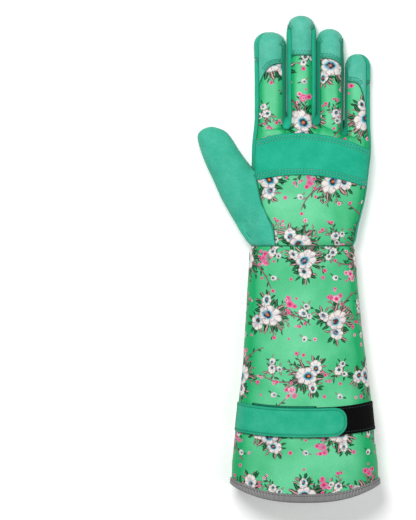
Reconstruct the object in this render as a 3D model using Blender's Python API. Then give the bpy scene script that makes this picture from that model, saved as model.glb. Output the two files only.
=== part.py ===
"""Long-cuffed pruning glove for the right hand, lying palm down.

Metres. +Z is up and the back of the hand, +Y points to the fingertips and +X to the little
finger. While it is modelled, the wrist seam is at Y = 0. A parent empty then puts the middle of
the glove's box at the origin.
"""
import math

import bmesh
import bpy
from mathutils import Vector

MM = 0.001

# Hand
PALM_WIDTH = 99.0 * MM
PALM_HEIGHT = 30.0 * MM
HAND_LENGTH = 196.2 * MM
FINGER_HEIGHT = 19.5 * MM
FINGER_GAP = 0.7 * MM
FINGERTIP_LENGTH = 12.5 * MM
WRIST_WIDTH = 89.2 * MM
WRIST_HEIGHT = 38.0 * MM
WRIST_OFFSET = 2.1 * MM

# Thumb
THUMB_SPAN = 45.1 * MM
THUMB_REACH = 34.9 * MM
THUMB_HEIGHT = 23.0 * MM
THUMB_CENTRE = 0.43 * THUMB_HEIGHT

# Cuff
CUFF_LENGTH = 201.5 * MM
CUFF_BOW = 15.0 * MM
HEM_WIDTH = 125.2 * MM
HEM_HEIGHT = 54.0 * MM
HEM_OFFSET = 4.25 * MM
HEM_BAND = 5.0 * MM

# Walls and clearances
LEATHER_WALL = 1.2 * MM
CLOTH_WALL = 1.3 * MM
BINDING_WALL = 1.0 * MM
SEAM_GAP = 0.3 * MM
LAYER_GAP = 0.3 * MM

# Pieces sewn on
BAND_TOP = 0.4878 * HAND_LENGTH
BAND_HEIGHT = 35.3 * MM
BAND_WALL = 1.2 * MM
PAD_LENGTH = 88.0 * MM
PAD_WIDTH = 81.0 * MM
PAD_THICKNESS = 2.4 * MM
STRAP_HEIGHT = 24.6 * MM
STRAP_LENGTH = 91.5 * MM
STRAP_WALL = 1.2 * MM
STRAP_FALL = 143.5 * MM
STRAP_SHIFT = 0.8 * MM
STRAP_MARGIN = 0.5 * MM
PATCH_HEIGHT = 24.0 * MM
PATCH_WALL = 1.0 * MM
PATCH_MARGIN = 0.2 * MM
BASE_INSET = 12.0 * MM
BASE_LENGTH = 55.0 * MM

# Shapes shared by the sections
DOME_POWER = 2.4
TIP_POWER = 2.3
CENTRE_HEIGHT = 0.42
KNUCKLE_DROP = 0.12
SEAM_REACH = 0.80
SEAM_HEIGHT = 0.80
SIDE_FOOT = 0.05
SEAM_CURL = 0.085
SEAM_LEAD = 0.25
SEAM_TILT = math.radians(45.0)
SHOULDER_TILT = math.radians(55.0)
CROTCH_APPROACH = 0.065 * HAND_LENGTH
CROTCH_RUNOUT = 0.04 * HAND_LENGTH
MIDDLE_LINE = 0.392
CUFF_FLAT = 1.12
STRAP_CORNER = 0.46

# Bend of the knuckle band's edges, over the palm's width
BAND_ARCH = {"top": 0.41, "low": 0.325}

# Fingers: right edge across the palm, reach of the tip up the hand, height
FINGERS = (
    {"name": "index", "edge": 0.2778, "reach": 0.929, "height": 1.00},
    {"name": "middle", "edge": 0.5313, "reach": 1.000, "height": 1.03},
    {"name": "ring", "edge": 0.7737, "reach": 0.943, "height": 0.98},
    {"name": "little", "edge": 1.0000, "reach": 0.834, "height": 0.91},
)

# Where the tip pieces begin: on the back, its drop towards the outer side, on the palm side
TIP_LINES = (
    {"back": 0.792, "drop": 0.094, "power": 3.0, "outer": -1, "palm": 0.808},
    {"back": 0.829, "drop": 0.000, "power": 2.0, "outer": 1, "palm": 0.845},
    {"back": 0.816, "drop": 0.030, "power": 3.0, "outer": 1, "palm": 0.820},
    {"back": 0.713, "drop": 0.112, "power": 4.0, "outer": 1, "palm": 0.700},
)

# Ends of the slots between the fingers: back, middle and palm level up the hand, half width
SLOTS = (
    {"pair": "index_middle", "back": 0.5046, "middle": 0.563, "palm": 0.580, "half": 0.0384},
    {"pair": "middle_ring", "back": 0.5219, "middle": 0.572, "palm": 0.589, "half": 0.0343},
    {"pair": "ring_little", "back": 0.4766, "middle": 0.516, "palm": 0.546, "half": 0.0263},
)
OUTER_CROTCH = {"back": (0.490, 0.445), "palm": (0.565, 0.515)}

# Outlines of the hand from wrist (0) to palm (1) by share of the hand's length
ULNAR_SIDE = (
    (0.00, 0.00), (0.05, 0.01), (0.08, 0.19), (0.13, 0.38), (0.18, 0.57),
    (0.235, 0.76), (0.31, 0.885), (0.41, 1.01), (0.445, 1.05), (0.51, 1.00),
)
THUMB_SIDE = ((0.00, 0.00), (0.30, 0.30), (0.41, 0.45), (0.48, 0.70), (0.54, 1.00))

# Seam of the back panel on the thumb side: up the hand, in from the palm's edge
THUMB_SEAM = (
    (0.000, 0.171), (0.035, 0.176), (0.071, 0.170), (0.112, 0.128), (0.147, 0.090),
    (0.192, 0.060), (0.238, 0.039), (0.325, 0.006), (0.392, 0.009), (0.459, 0.016),
    (0.520, 0.031), (0.637, 0.038), (1.000, 0.038),
)

# Thumb outlines: share of its rise, then of the way from web to tip for the inner one,
# against the share of its span out from the wrist's side
THUMB_OUTER = (
    (0.00, 0.000), (0.15, 0.226), (0.25, 0.358), (0.35, 0.490), (0.453, 0.603),
    (0.551, 0.698), (0.653, 0.810), (0.753, 0.905), (0.853, 0.975), (0.904, 1.000),
    (0.954, 0.965), (0.984, 0.865), (1.000, 0.725),
)
THUMB_HIDDEN = (
    (0.00, -0.68), (0.23, -0.61), (0.38, -0.54), (0.53, -0.45), (0.69, -0.344),
    (0.84, -0.20), (1.00, -0.029),
)
THUMB_INNER = (
    (0.00, -0.029), (0.28, 0.132), (0.426, 0.188), (0.572, 0.264), (0.72, 0.339),
    (0.866, 0.432), (0.962, 0.565), (1.000, 0.725),
)

# Rows of the thumb's base: left end by share of the rise
THUMB_BASE_ROWS = (0.150, 0.251, 0.351, 0.453, 0.551, 0.620)

# Rows of the free thumb: left end by share of the rise, right end by share of the way from
# web to tip, height of the dome, depth below
THUMB_FREE_ROWS = (
    {"left": 0.660, "right": 0.000, "dome": 1.00, "depth": 1.00},
    {"left": 0.725, "right": 0.389, "dome": 0.97, "depth": 1.00},
    {"left": 0.790, "right": 0.592, "dome": 0.93, "depth": 1.00},
    {"left": 0.850, "right": 0.752, "dome": 0.86, "depth": 1.00},
    {"left": 0.905, "right": 0.869, "dome": 0.75, "depth": 0.93},
    {"left": 0.950, "right": 0.948, "dome": 0.57, "depth": 0.72},
    {"left": 0.982, "right": 0.988, "dome": 0.33, "depth": 0.42},
    {"left": 1.000, "right": 1.000, "dome": 0.00, "depth": 0.00},
)
THUMB_TIP_ROW = 2

# Rows up the hand, by share of its length, and the one where the thumb parts from it
PALM_ROWS = (0.077, 0.130, 0.182, 0.234, 0.285, 0.315, 0.345, 0.390, 0.430, 0.470)
BACK_ROWS = (0.075, 0.128, 0.180, 0.234, 0.285, 0.324, 0.370)
WEB_BACK = 0.340
WEB_ROW = 6
U_ANGLES = (0.0, 50.0, 90.0)
TIP_ANGLES = (22.0, 43.0, 61.0, 76.0, 90.0)

# Cuff's half width and centre from wrist (0) to hem (1) by share of its length
CUFF_FLARE = (
    (0.000, 0.000), (0.126, 0.095), (0.253, 0.190), (0.354, 0.285), (0.506, 0.453),
    (0.607, 0.570), (0.708, 0.710), (0.810, 0.830), (0.910, 0.965), (1.000, 1.000),
)
CUFF_ROWS = (0.0, 0.13, 0.27, 0.42, 0.57, 0.69, 0.80, 0.89, 0.95, 1.0)
CUFF_SIDES = 44

# Palm pad outline: share of its width from the thumb side, share of its length from the wrist
PAD_OUTLINE = (
    (0.10, 1.00), (0.38, 1.00), (0.66, 0.99), (0.83, 0.93), (0.97, 0.83), (1.00, 0.75),
    (0.98, 0.55), (0.955, 0.34), (0.91, 0.13), (0.81, 0.03), (0.71, 0.00), (0.615, 0.035),
    (0.52, 0.02), (0.43, 0.00), (0.29, 0.07), (0.22, 0.17), (0.15, 0.30), (0.11, 0.42),
    (0.09, 0.55), (0.09, 0.63), (0.145, 0.67), (0.24, 0.70), (0.385, 0.69), (0.57, 0.635),
    (0.72, 0.57), (0.765, 0.505), (0.72, 0.44), (0.615, 0.405), (0.555, 0.35), (0.60, 0.245),
    (0.68, 0.195), (0.79, 0.235), (0.84, 0.35), (0.86, 0.515), (0.795, 0.63), (0.66, 0.705),
    (0.475, 0.775), (0.24, 0.79), (0.05, 0.775), (0.00, 0.82), (0.02, 0.93),
)
PAD_FOOT = 0.097
PAD_SIDE = 0.083
PAD_BEVEL = 0.3 * PAD_THICKNESS

# Stretches below and above the pad, up the hand, where the palm's floor rises and falls
FLOOR_RAMPS = {"start": 0.010, "before": 0.012, "after": 0.005, "end": 0.055}


def mix(a, b, t):
    return a + (b - a) * t


def smooth(start, end, value):
    t = min(1.0, max(0.0, (value - start) / (end - start)))
    return t * t * (3.0 - 2.0 * t)


def from_table(table, value):
    """Read a two-column table with straight lines between its rows."""
    if value <= table[0][0]:
        return table[0][1]
    for (x0, y0), (x1, y1) in zip(table, table[1:]):
        if value <= x1:
            return mix(y0, y1, (value - x0) / (x1 - x0))
    return table[-1][1]


def dome(share):
    """Height of a rounded section over its half width, 1 in the middle and 0 at the side."""
    return max(0.0, 1.0 - min(1.0, abs(share)) ** DOME_POWER) ** (1.0 / DOME_POWER)


# Places that the pieces share
PALM_LEFT = -MIDDLE_LINE * PALM_WIDTH
PALM_RIGHT = PALM_LEFT + PALM_WIDTH
WRIST_LEFT = WRIST_OFFSET - WRIST_WIDTH / 2
WRIST_RIGHT = WRIST_OFFSET + WRIST_WIDTH / 2
EDGES = [PALM_LEFT] + [PALM_LEFT + row["edge"] * PALM_WIDTH for row in FINGERS]
SLOT_RADIUS = [row["half"] * PALM_WIDTH for row in SLOTS]
FLOOR_LIFT = PAD_THICKNESS + LAYER_GAP
WEB_Y = WEB_BACK * HAND_LENGTH
THUMB_RISE = WEB_Y + THUMB_REACH
STRAP_MIDDLE = STRAP_FALL / CUFF_LENGTH


def hand_left(y):
    return mix(WRIST_LEFT, PALM_LEFT, from_table(THUMB_SIDE, y / HAND_LENGTH))


def hand_right(y):
    return mix(WRIST_RIGHT, PALM_RIGHT, from_table(ULNAR_SIDE, y / HAND_LENGTH))


def hand_height(y):
    wrist = 1.0 - smooth(0.0, 0.24, y / HAND_LENGTH)
    knuckles = 1.0 - KNUCKLE_DROP * smooth(0.30, 0.50, y / HAND_LENGTH)
    return mix(PALM_HEIGHT * knuckles, WRIST_HEIGHT, wrist)


def hand_centre_height(y):
    return CENTRE_HEIGHT * hand_height(y)


def hand_top(x, y):
    """Back of the hand over a point of the plan, as one wide dome."""
    left, right = hand_left(y), hand_right(y)
    across = (2.0 * x - left - right) / (right - left)
    low = hand_centre_height(y)
    return low + (hand_height(y) - low) * dome(across)


def hand_tilt(x, y):
    """Lean of the hand's surface from straight up, towards +X."""
    left, right = hand_left(y), hand_right(y)
    across = (2.0 * x - left - right) / (right - left)
    return math.copysign(SHOULDER_TILT * min(1.0, abs(across)) ** 3, across)


def palm_floor(y):
    """Underside of the palm panel, raised where the pad lies under it."""
    share, ramps = y / HAND_LENGTH, FLOOR_RAMPS
    rise = smooth(ramps["start"], PAD_FOOT - ramps["before"], share)
    end = PAD_FOOT + PAD_LENGTH / HAND_LENGTH
    return FLOOR_LIFT * rise * (1.0 - smooth(end + ramps["after"], end + ramps["end"], share))


def finger_height(k):
    return FINGER_HEIGHT * FINGERS[k]["height"]


def finger_centre_height(k):
    return CENTRE_HEIGHT * finger_height(k)


def slot_seam_height(slot):
    return SEAM_HEIGHT * (finger_height(slot) + finger_height(slot + 1)) / 2


def tip_y(k):
    return FINGERS[k]["reach"] * HAND_LENGTH


def tip_share(k, y):
    """Fullness of a finger's section: 1 along the finger and 0 at its very tip."""
    into = max(0.0, 1.0 - (tip_y(k) - y) / FINGERTIP_LENGTH)
    return max(0.0, 1.0 - min(1.0, into) ** TIP_POWER) ** (1.0 / TIP_POWER)


def tip_lean(k, y):
    """Angle by which a finger's surface turns towards its tip."""
    into = max(0.0, 1.0 - (tip_y(k) - y) / FINGERTIP_LENGTH)
    return math.asin(min(1.0, into))


def seam_share(k, y):
    """How far a seam between fingers stands off the widest line, 0 near the tip."""
    start, full = 0.45 * FINGERTIP_LENGTH, (1.0 + SEAM_LEAD) * FINGERTIP_LENGTH
    return smooth(start, full, tip_y(k) - y)


def finger_side(k, side, y):
    """X of the widest line of a finger: side -1 is towards the thumb."""
    left = EDGES[k] + FINGER_GAP / 2 if k > 0 else PALM_LEFT
    right = EDGES[k + 1] - FINGER_GAP / 2 if k < 3 else PALM_RIGHT
    centre, half = (left + right) / 2, (right - left) / 2
    before_tip = y < tip_y(k) - FINGERTIP_LENGTH
    if k == 0 and side < 0 and before_tip:
        return hand_left(y)
    if k == 3 and side > 0 and before_tip:
        return hand_right(y)
    return centre + side * half * tip_share(k, y)


def crotch_blend(y, crotch):
    """0 on the hand and 1 on the fingers."""
    return smooth(crotch - CROTCH_APPROACH, crotch + CROTCH_RUNOUT, y)


def crotch_at(level, x):
    """Y of the line of crotches over any x."""
    outer = OUTER_CROTCH[level]
    places = [(PALM_LEFT, outer[0] * HAND_LENGTH)]
    places += [(EDGES[i + 1], SLOTS[i][level] * HAND_LENGTH) for i in range(3)]
    places += [(PALM_RIGHT, outer[1] * HAND_LENGTH)]
    return from_table(places, x)


class Seam:
    """A point of a seam, with the surface's normal and the way down and out along it."""

    def __init__(self, point, outward, tilt, lean=0.0):
        level = Vector((outward[0], outward[1], 0.0)).normalized()
        flat = math.cos(lean)
        self.point = Vector(point)
        self.normal = level * math.sin(tilt) + Vector((0.0, 0.0, math.cos(tilt)))
        self.normal = self.normal * flat + Vector((0.0, math.sin(lean), 0.0))
        self.along = level * math.cos(tilt) - Vector((0.0, 0.0, math.sin(tilt)))

    def edge(self, way):
        """Edge of a piece that ends at this seam: way -1 is the upper or inner piece."""
        return self.point + self.along * (way * SEAM_GAP / 2), self.normal


def back_slot_seam(slot, angle, arm=None, y=None):
    """Upper seam of the strip between two fingers: round its end, or along an arm."""
    radius = SLOT_RADIUS[slot]
    centre_x = EDGES[slot + 1]
    start = SLOTS[slot]["back"] * HAND_LENGTH + radius
    if arm is None:
        turn = math.radians(angle)
        x = centre_x + radius * math.sin(turn)
        y = start - radius * math.cos(turn)
        outward = (-math.sin(turn), math.cos(turn))
        keep, lean = 1.0, 0.0
        height = slot_seam_height(slot)
    else:
        k = slot if arm < 0 else slot + 1
        keep = seam_share(k, y)
        side = finger_side(k, -arm, y)
        x = side + arm * (radius - FINGER_GAP / 2) * keep
        outward = (-arm, 0.0)
        low = finger_centre_height(k)
        height = mix(low, slot_seam_height(slot), keep)
        lean = tip_lean(k, y)
    blend = crotch_blend(y, SLOTS[slot]["back"] * HAND_LENGTH)
    z = mix(hand_top(centre_x, y), height, blend)
    tilt = mix(math.pi / 2, SEAM_TILT, keep) * blend
    return Seam((x, y, z), outward, tilt, lean)


def palm_slot_seam(slot, angle, arm=None, y=None):
    """Lower seam of the strip between two fingers."""
    radius = SLOT_RADIUS[slot]
    centre_x = EDGES[slot + 1]
    start = SLOTS[slot]["palm"] * HAND_LENGTH + radius
    if arm is None:
        turn = math.radians(angle)
        x = centre_x + radius * math.sin(turn)
        y = start - radius * math.cos(turn)
        outward = (-math.sin(turn), math.cos(turn))
        keep, lean, k = 1.0, 0.0, slot
    else:
        k = slot if arm < 0 else slot + 1
        keep = seam_share(k, y)
        x = finger_side(k, -arm, y) + arm * (radius - FINGER_GAP / 2) * keep
        outward = (-arm, 0.0)
        lean = tip_lean(k, y)
    crotch = SLOTS[slot]["palm"] * HAND_LENGTH
    blend = smooth(crotch - CROTCH_RUNOUT, crotch + CROTCH_RUNOUT / 2, y)
    curl = mix(finger_centre_height(k), SEAM_CURL * FINGER_HEIGHT, keep)
    z = palm_floor(y) + curl * blend
    tilt = math.pi - mix(math.pi / 2, SEAM_TILT, keep) * blend
    return Seam((x, y, z), outward, tilt, lean)


def outer_height(k, y):
    """Height of the widest line on the outer side of the index or little finger."""
    blend = crotch_blend(y, OUTER_CROTCH["back"][k // 3] * HAND_LENGTH)
    return mix(hand_centre_height(y), finger_centre_height(k), blend)


def outer_seam(k, y):
    """Seam of the back panel on the outer side of the hand and of finger k, 0 or 3."""
    way = -1 if k == 0 else 1
    share = tip_share(k, y)
    if k == 0:
        inset = PALM_LEFT + from_table(THUMB_SEAM, y / HAND_LENGTH) * PALM_WIDTH
        x = inset if share == 1.0 else mix(
            (finger_side(k, -1, y) + finger_side(k, 1, y)) / 2, inset, share)
    else:
        inset = mix(0.016, 0.036, smooth(0.40, 0.60, y / HAND_LENGTH)) * PALM_WIDTH
        x = finger_side(k, 1, y) - inset * share
    blend = crotch_blend(y, OUTER_CROTCH["back"][k // 3] * HAND_LENGTH)
    low = finger_centre_height(k)
    z = mix(hand_top(x, y), mix(low, SEAM_HEIGHT * finger_height(k), share), blend)
    tilt = mix(abs(hand_tilt(x, y)), SEAM_TILT, blend)
    return Seam((x, y, z), (way, 0.0), tilt, tip_lean(k, y))


def outer_low_seam(k, y):
    """Where the outer side of the hand turns into its underside."""
    way = -1 if k == 0 else 1
    share = tip_share(k, y)
    low = finger_centre_height(k)
    blend = crotch_blend(y, OUTER_CROTCH["palm"][k // 3] * HAND_LENGTH)
    x = finger_side(k, way, y) - way * SIDE_FOOT * PALM_WIDTH * share
    curl = mix(low, SEAM_CURL * FINGER_HEIGHT, share)
    z = palm_floor(y) + curl * mix(0.6, 1.0, blend)
    return Seam((x, y, z), (way, 0.0), math.pi - SEAM_TILT, tip_lean(k, y))


def outer_middle(k, y):
    way = -1 if k == 0 else 1
    point = (finger_side(k, way, y), y, outer_height(k, y))
    return Seam(point, (way, 0.0), math.pi / 2, tip_lean(k, y))


def side_point(top, middle, low, share):
    """Point of a side wall that bulges from its upper seam round to its lower one."""
    if share <= 1.0:
        start = math.radians(30.0)
        turn = mix(start, math.pi / 2, share)
        reach = (1.0 - math.sin(turn)) / (1.0 - math.sin(start))
        height = math.cos(turn) / math.cos(start)
        other, other_share = top, 1.0 - share
    else:
        end = math.radians(60.0)
        turn = mix(0.0, end, share - 1.0)
        reach = (1.0 - math.cos(turn)) / (1.0 - math.cos(end))
        height = math.sin(turn) / math.sin(end)
        other, other_share = low, share - 1.0
    offset = other[0] - middle[0]
    point = middle[0] + Vector((offset.x * reach, offset.y * reach, offset.z * height))
    normal = mix(middle[1], other[1], other_share).normalized()
    return point, normal


def strand_height(k, x, y, rim, u):
    """Height of the back over strand k: u is -1 and 1 at its two seams, which lie at rim."""
    blend = crotch_blend(y, crotch_at("back", x))
    low = finger_centre_height(k)
    crown = low + (finger_height(k) - low) * tip_share(k, y)
    seam_dome = dome(SEAM_REACH)
    cap = (dome(SEAM_REACH * u) - seam_dome) / (1.0 - seam_dome)
    hand = hand_top(x, y)
    finger = mix(hand, rim, blend) + max(0.0, crown - rim) * cap
    return mix(hand, finger, blend)


def back_row(k, left, right, count):
    """Points of the back of a strand between two seam edges."""
    points = []
    for i in range(count + 1):
        across = i / count
        u = 2.0 * across - 1.0
        start, end = left[0], right[0]
        x, y = mix(start.x, end.x, across), mix(start.y, end.y, across)
        if i == 0 or i == count:
            points.append(left if i == 0 else right)
            continue
        blend = crotch_blend(y, crotch_at("back", x))
        z = strand_height(k, x, y, mix(start.z, end.z, across), u)
        lean = tip_lean(k, y)
        tilt = mix(hand_tilt(x, y), math.copysign(SEAM_TILT * abs(u) ** 1.5, u), blend)
        normal = Vector((math.sin(tilt) * math.cos(lean), math.sin(lean),
                         math.cos(tilt) * math.cos(lean)))
        points.append((Vector((x, y, z)), normal))
    return points


def palm_row(k, left, right, count):
    """Points of the underside of a strand between two seam edges."""
    points = []
    for i in range(count + 1):
        across = i / count
        u = 2.0 * across - 1.0
        if i == 0 or i == count:
            points.append(left if i == 0 else right)
            continue
        x, y = mix(left[0].x, right[0].x, across), mix(left[0].y, right[0].y, across)
        share = tip_share(k, y)
        low = palm_floor(y) + finger_centre_height(k) * (1.0 - share)
        flat = 0.6 * share
        curl = max(0.0, (abs(u) - flat) / (1.0 - flat)) ** 2
        rim = left[0].z if u < 0.0 else right[0].z
        edge_normal = left[1] if u < 0.0 else right[1]
        lean = tip_lean(k, y)
        below = Vector((0.0, math.sin(lean), -math.cos(lean)))
        normal = mix(below, edge_normal, abs(u) ** 3).normalized()
        points.append((Vector((x, y, mix(low, rim, curl))), normal))
    return points


class Shell:
    """A curved wall, built from rows of points that lie on its outer face."""

    def __init__(self, wall):
        self.wall = wall
        self.numbers = {}
        self.outer = []
        self.inner = []
        self.faces = []

    def number(self, point, normal):
        key = tuple(round(value / (0.01 * MM)) for value in point)
        if key not in self.numbers:
            self.numbers[key] = len(self.outer)
            self.outer.append(point.copy())
            self.inner.append(point - normal * self.wall)
        return self.numbers[key]

    def add_rows(self, rows, closed=False):
        grid = [[self.number(*point) for point in row] for row in rows]
        for low, high in zip(grid, grid[1:]):
            last = len(low) if closed else len(low) - 1
            for i in range(last):
                j = (i + 1) % len(low)
                corners = []
                for corner in (low[i], low[j], high[j], high[i]):
                    if corner not in corners:
                        corners.append(corner)
                if len(corners) > 2:
                    self.faces.append(corners)

    def build(self, name, material):
        count = len(self.outer)
        faces = [list(face) for face in self.faces]
        faces += [[count + i for i in reversed(face)] for face in self.faces]
        edges = {}
        for face in self.faces:
            for a, b in zip(face, face[1:] + face[:1]):
                edges.setdefault(frozenset((a, b)), []).append((a, b))
        for uses in edges.values():
            if len(uses) == 1:
                a, b = uses[0]
                faces.append([b, a, count + a, count + b])
        return solid(name, self.outer + self.inner, faces, material)


def solid(name, points, faces, material):
    mesh = bpy.data.meshes.new(name)
    mesh.from_pydata([tuple(point) for point in points], [], faces)
    work = bmesh.new()
    work.from_mesh(mesh)
    bmesh.ops.recalc_face_normals(work, faces=work.faces[:])
    if work.calc_volume(signed=True) < 0.0:
        bmesh.ops.reverse_faces(work, faces=work.faces[:])
    work.to_mesh(mesh)
    work.free()
    mesh.shade_smooth()
    mesh.set_sharp_from_angle(angle=math.radians(40.0))
    mesh.materials.append(material)
    thing = bpy.data.objects.new(name, mesh)
    bpy.context.scene.collection.objects.link(thing)
    return thing


def finish(name, colour, roughness):
    material = bpy.data.materials.new(name)
    material.use_nodes = True
    shader = material.node_tree.nodes["Principled BSDF"]
    shader.inputs["Base Color"].default_value = (*colour, 1.0)
    shader.inputs["Roughness"].default_value = roughness
    shader.inputs["Metallic"].default_value = 0.0
    return material


def back_edges(k, station):
    """Left and right seam edges of the back of strand k at a station.

    A station is ("hand", share), ("near", offset), ("u", angle) or ("finger", share).
    """
    kind, value = station
    crotches = [OUTER_CROTCH["back"][0]] + [row["back"] for row in SLOTS]
    crotches.append(OUTER_CROTCH["back"][1])
    edges = []
    for side in (-1, 1):
        place = k if side < 0 else k + 1
        outer = place in (0, 4)
        crotch = crotches[place] * HAND_LENGTH
        slot = place - 1
        radius = SLOT_RADIUS[slot] if not outer else SLOT_RADIUS[0]
        if kind == "hand":
            y = value * HAND_LENGTH
        elif kind == "near":
            y = crotch + value * HAND_LENGTH
        elif kind == "u":
            y = crotch + radius * (1.0 - math.cos(math.radians(value)))
        else:
            y = mix(crotch + radius, tip_line(k, (side + 1) / 2, -1), value)
        if outer:
            seam = outer_seam(k, y)
        elif kind in ("hand", "near"):
            x = EDGES[place]
            blend = crotch_blend(y, crotch)
            z = mix(hand_top(x, y), slot_seam_height(slot), blend)
            tilt = hand_tilt(x, y) * (1.0 - blend)
            normal = Vector((math.sin(tilt), 0.0, math.cos(tilt)))
            edges.append((Vector((x, y, z)), normal))
            continue
        elif kind == "u":
            seam = back_slot_seam(slot, -side * value)
            if value == 0.0:
                edges.append(seam.edge(-1))
                continue
        else:
            seam = back_slot_seam(slot, 0.0, -side, y)
        edges.append(seam.edge(-1))
    return edges


def tip_line(k, across, way=0):
    """Y of the lower edge of a tip cap across a finger, with half the seam's gap either way."""
    row = TIP_LINES[k]
    toward = across if row["outer"] > 0 else 1.0 - across
    y = (row["back"] - row["drop"] * toward ** row["power"]) * HAND_LENGTH
    rise = row["drop"] * row["power"] * toward ** (row["power"] - 1.0) * HAND_LENGTH
    width = EDGES[k + 1] - EDGES[k] - 2.0 * SLOT_RADIUS[min(k, 2)]
    return y + way * SEAM_GAP / 2 * math.hypot(1.0, rise / width)


def back_strand_rows(k, columns):
    stations = [("hand", SEAM_GAP / 2 / HAND_LENGTH)]
    stations += [("hand", share) for share in BACK_ROWS]
    stations += [("near", -0.060), ("near", -0.026)]
    stations += [("u", angle) for angle in U_ANGLES]
    rows = [back_row(k, *back_edges(k, station), columns) for station in stations]
    for share in (0.33, 0.66, 1.0):
        edges = back_edges(k, ("finger", share))
        rows.append(cap_row(k, edges, columns, share, -1))
    return rows


def finger_edges(k, left_y, right_y):
    """Both seam edges of a finger's back at two places along it."""
    edges = []
    for side, y in ((-1, left_y), (1, right_y)):
        outer = (k == 0 and side < 0) or (k == 3 and side > 0)
        slot = k - 1 if side < 0 else k
        seam = outer_seam(k, y) if outer else back_slot_seam(slot, 0.0, -side, y)
        edges.append(seam.edge(-1))
    return edges


def cap_row(k, edges, columns, bow, way):
    """A row that follows the bowed lower edge of the cap as far as bow says."""
    points = back_row(k, *edges, columns)
    for i in range(1, columns):
        across = i / columns
        straight = mix(tip_line(k, 0.0, way), tip_line(k, 1.0, way), across)
        points[i][0].y += (tip_line(k, across, way) - straight) * bow
    return points


def tip_back_rows(k, columns):
    base = tip_y(k) - FINGERTIP_LENGTH
    ends = [tip_line(k, across, 1) for across in (0.0, 1.0)]
    rows = [cap_row(k, finger_edges(k, *ends), columns, 1.0, 1)]
    for y in (base - SEAM_LEAD * FINGERTIP_LENGTH, base):
        rows.append(back_row(k, *finger_edges(k, y, y), columns))
    for angle in TIP_ANGLES:
        y = base + FINGERTIP_LENGTH * math.sin(math.radians(angle))
        if angle == 90.0:
            point = Vector(((finger_side(k, -1, y) + finger_side(k, 1, y)) / 2, y,
                            finger_centre_height(k) + SEAM_GAP / 2))
            rows.append([(point, Vector((0.0, 1.0, 0.0)))] * (columns + 1))
            continue
        rows.append(back_row(k, *finger_edges(k, y, y), columns))
    return rows


def palm_edges(k, station):
    """Left and right lower edges of the underside of strand k at a station."""
    kind, value = station
    crotches = [OUTER_CROTCH["palm"][0]] + [row["palm"] for row in SLOTS]
    crotches.append(OUTER_CROTCH["palm"][1])
    edges = []
    for side in (-1, 1):
        place = k if side < 0 else k + 1
        outer = place in (0, 4)
        crotch = crotches[place] * HAND_LENGTH
        slot = place - 1
        radius = SLOT_RADIUS[slot] if not outer else SLOT_RADIUS[0]
        if kind == "hand":
            y = value * HAND_LENGTH
        elif kind == "near":
            y = crotch + value * HAND_LENGTH
        elif kind == "u":
            y = crotch + radius * (1.0 - math.cos(math.radians(value)))
        elif kind == "finger":
            y = mix(crotch + radius, TIP_LINES[k]["palm"] * HAND_LENGTH, value)
        else:
            y = value
        if outer and place == 0 and kind == "hand" and value <= PALM_ROWS[WEB_ROW]:
            edges.append((Vector((hand_left(y), y, palm_floor(y))), Vector((0.0, 0.0, -1.0))))
        elif outer:
            seam = outer_low_seam(k, y)
            edges.append((seam.point, seam.normal))
        elif kind in ("hand", "near"):
            edges.append((Vector((EDGES[place], y, palm_floor(y))), Vector((0.0, 0.0, -1.0))))
        elif kind == "u":
            edges.append(palm_slot_seam(slot, -side * value).edge(1))
        else:
            edges.append(palm_slot_seam(slot, 0.0, -side, y).edge(1))
    return edges


def palm_stations():
    stations = [("hand", SEAM_GAP / 2 / HAND_LENGTH)]
    stations += [("hand", share) for share in PALM_ROWS]
    stations += [("near", -0.035)]
    stations += [("u", angle) for angle in U_ANGLES]
    return stations + [("finger", share) for share in (0.33, 0.66)]


def side_columns(k, y, top_way=1):
    """The wall round the outer side of finger or hand, from its upper to its lower edge."""
    top = outer_seam(k, y).edge(top_way)
    middle_seam = outer_middle(k, y)
    middle = (middle_seam.point, middle_seam.normal)
    low_seam = outer_low_seam(k, y)
    low = (low_seam.point, low_seam.normal)
    shares = (0.0, 0.5, 1.0, 1.5, 2.0)
    return [side_point(top, middle, low, share) for share in shares]


def thumb_outer(share):
    return WRIST_LEFT - from_table(THUMB_OUTER, share) * THUMB_SPAN


def thumb_inner(y):
    if y < WEB_Y:
        return WRIST_LEFT - from_table(THUMB_HIDDEN, y / WEB_Y) * THUMB_SPAN
    return WRIST_LEFT - from_table(THUMB_INNER, (y - WEB_Y) / THUMB_REACH) * THUMB_SPAN


def side_height(y):
    """Height of the thumb's widest line, which meets the cuff's at the wrist."""
    return mix(hand_centre_height(y), THUMB_CENTRE, smooth(0.0, 0.5, y / THUMB_RISE))


def thumb_top(x, y, left, right, crown):
    """Top of the thumb's dome joined to the dome of the hand beside it."""
    low = side_height(y)
    across = (2.0 * x - left - right) / (right - left)
    thumb = crown * dome(across)
    hand_left_x, hand_right_x = hand_left(y), hand_right(y)
    over = (2.0 * x - hand_left_x - hand_right_x) / (hand_right_x - hand_left_x)
    hand = (hand_height(y) - low) * dome(over)
    return low + (thumb ** 4 + hand ** 4) ** 0.25


def thumb_left_end(share):
    y = max(SEAM_GAP / 2, share * THUMB_RISE)
    return Vector((thumb_outer(share), y, side_height(y)))


def thumb_right_end(share):
    y = WEB_Y + share * THUMB_REACH
    return Vector((thumb_inner(y), y, side_height(y)))


def spread(count):
    """Shares of a width, closer together at both ends."""
    return [0.5 - 0.5 * math.cos(math.pi * i / count) for i in range(count + 1)]


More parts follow.
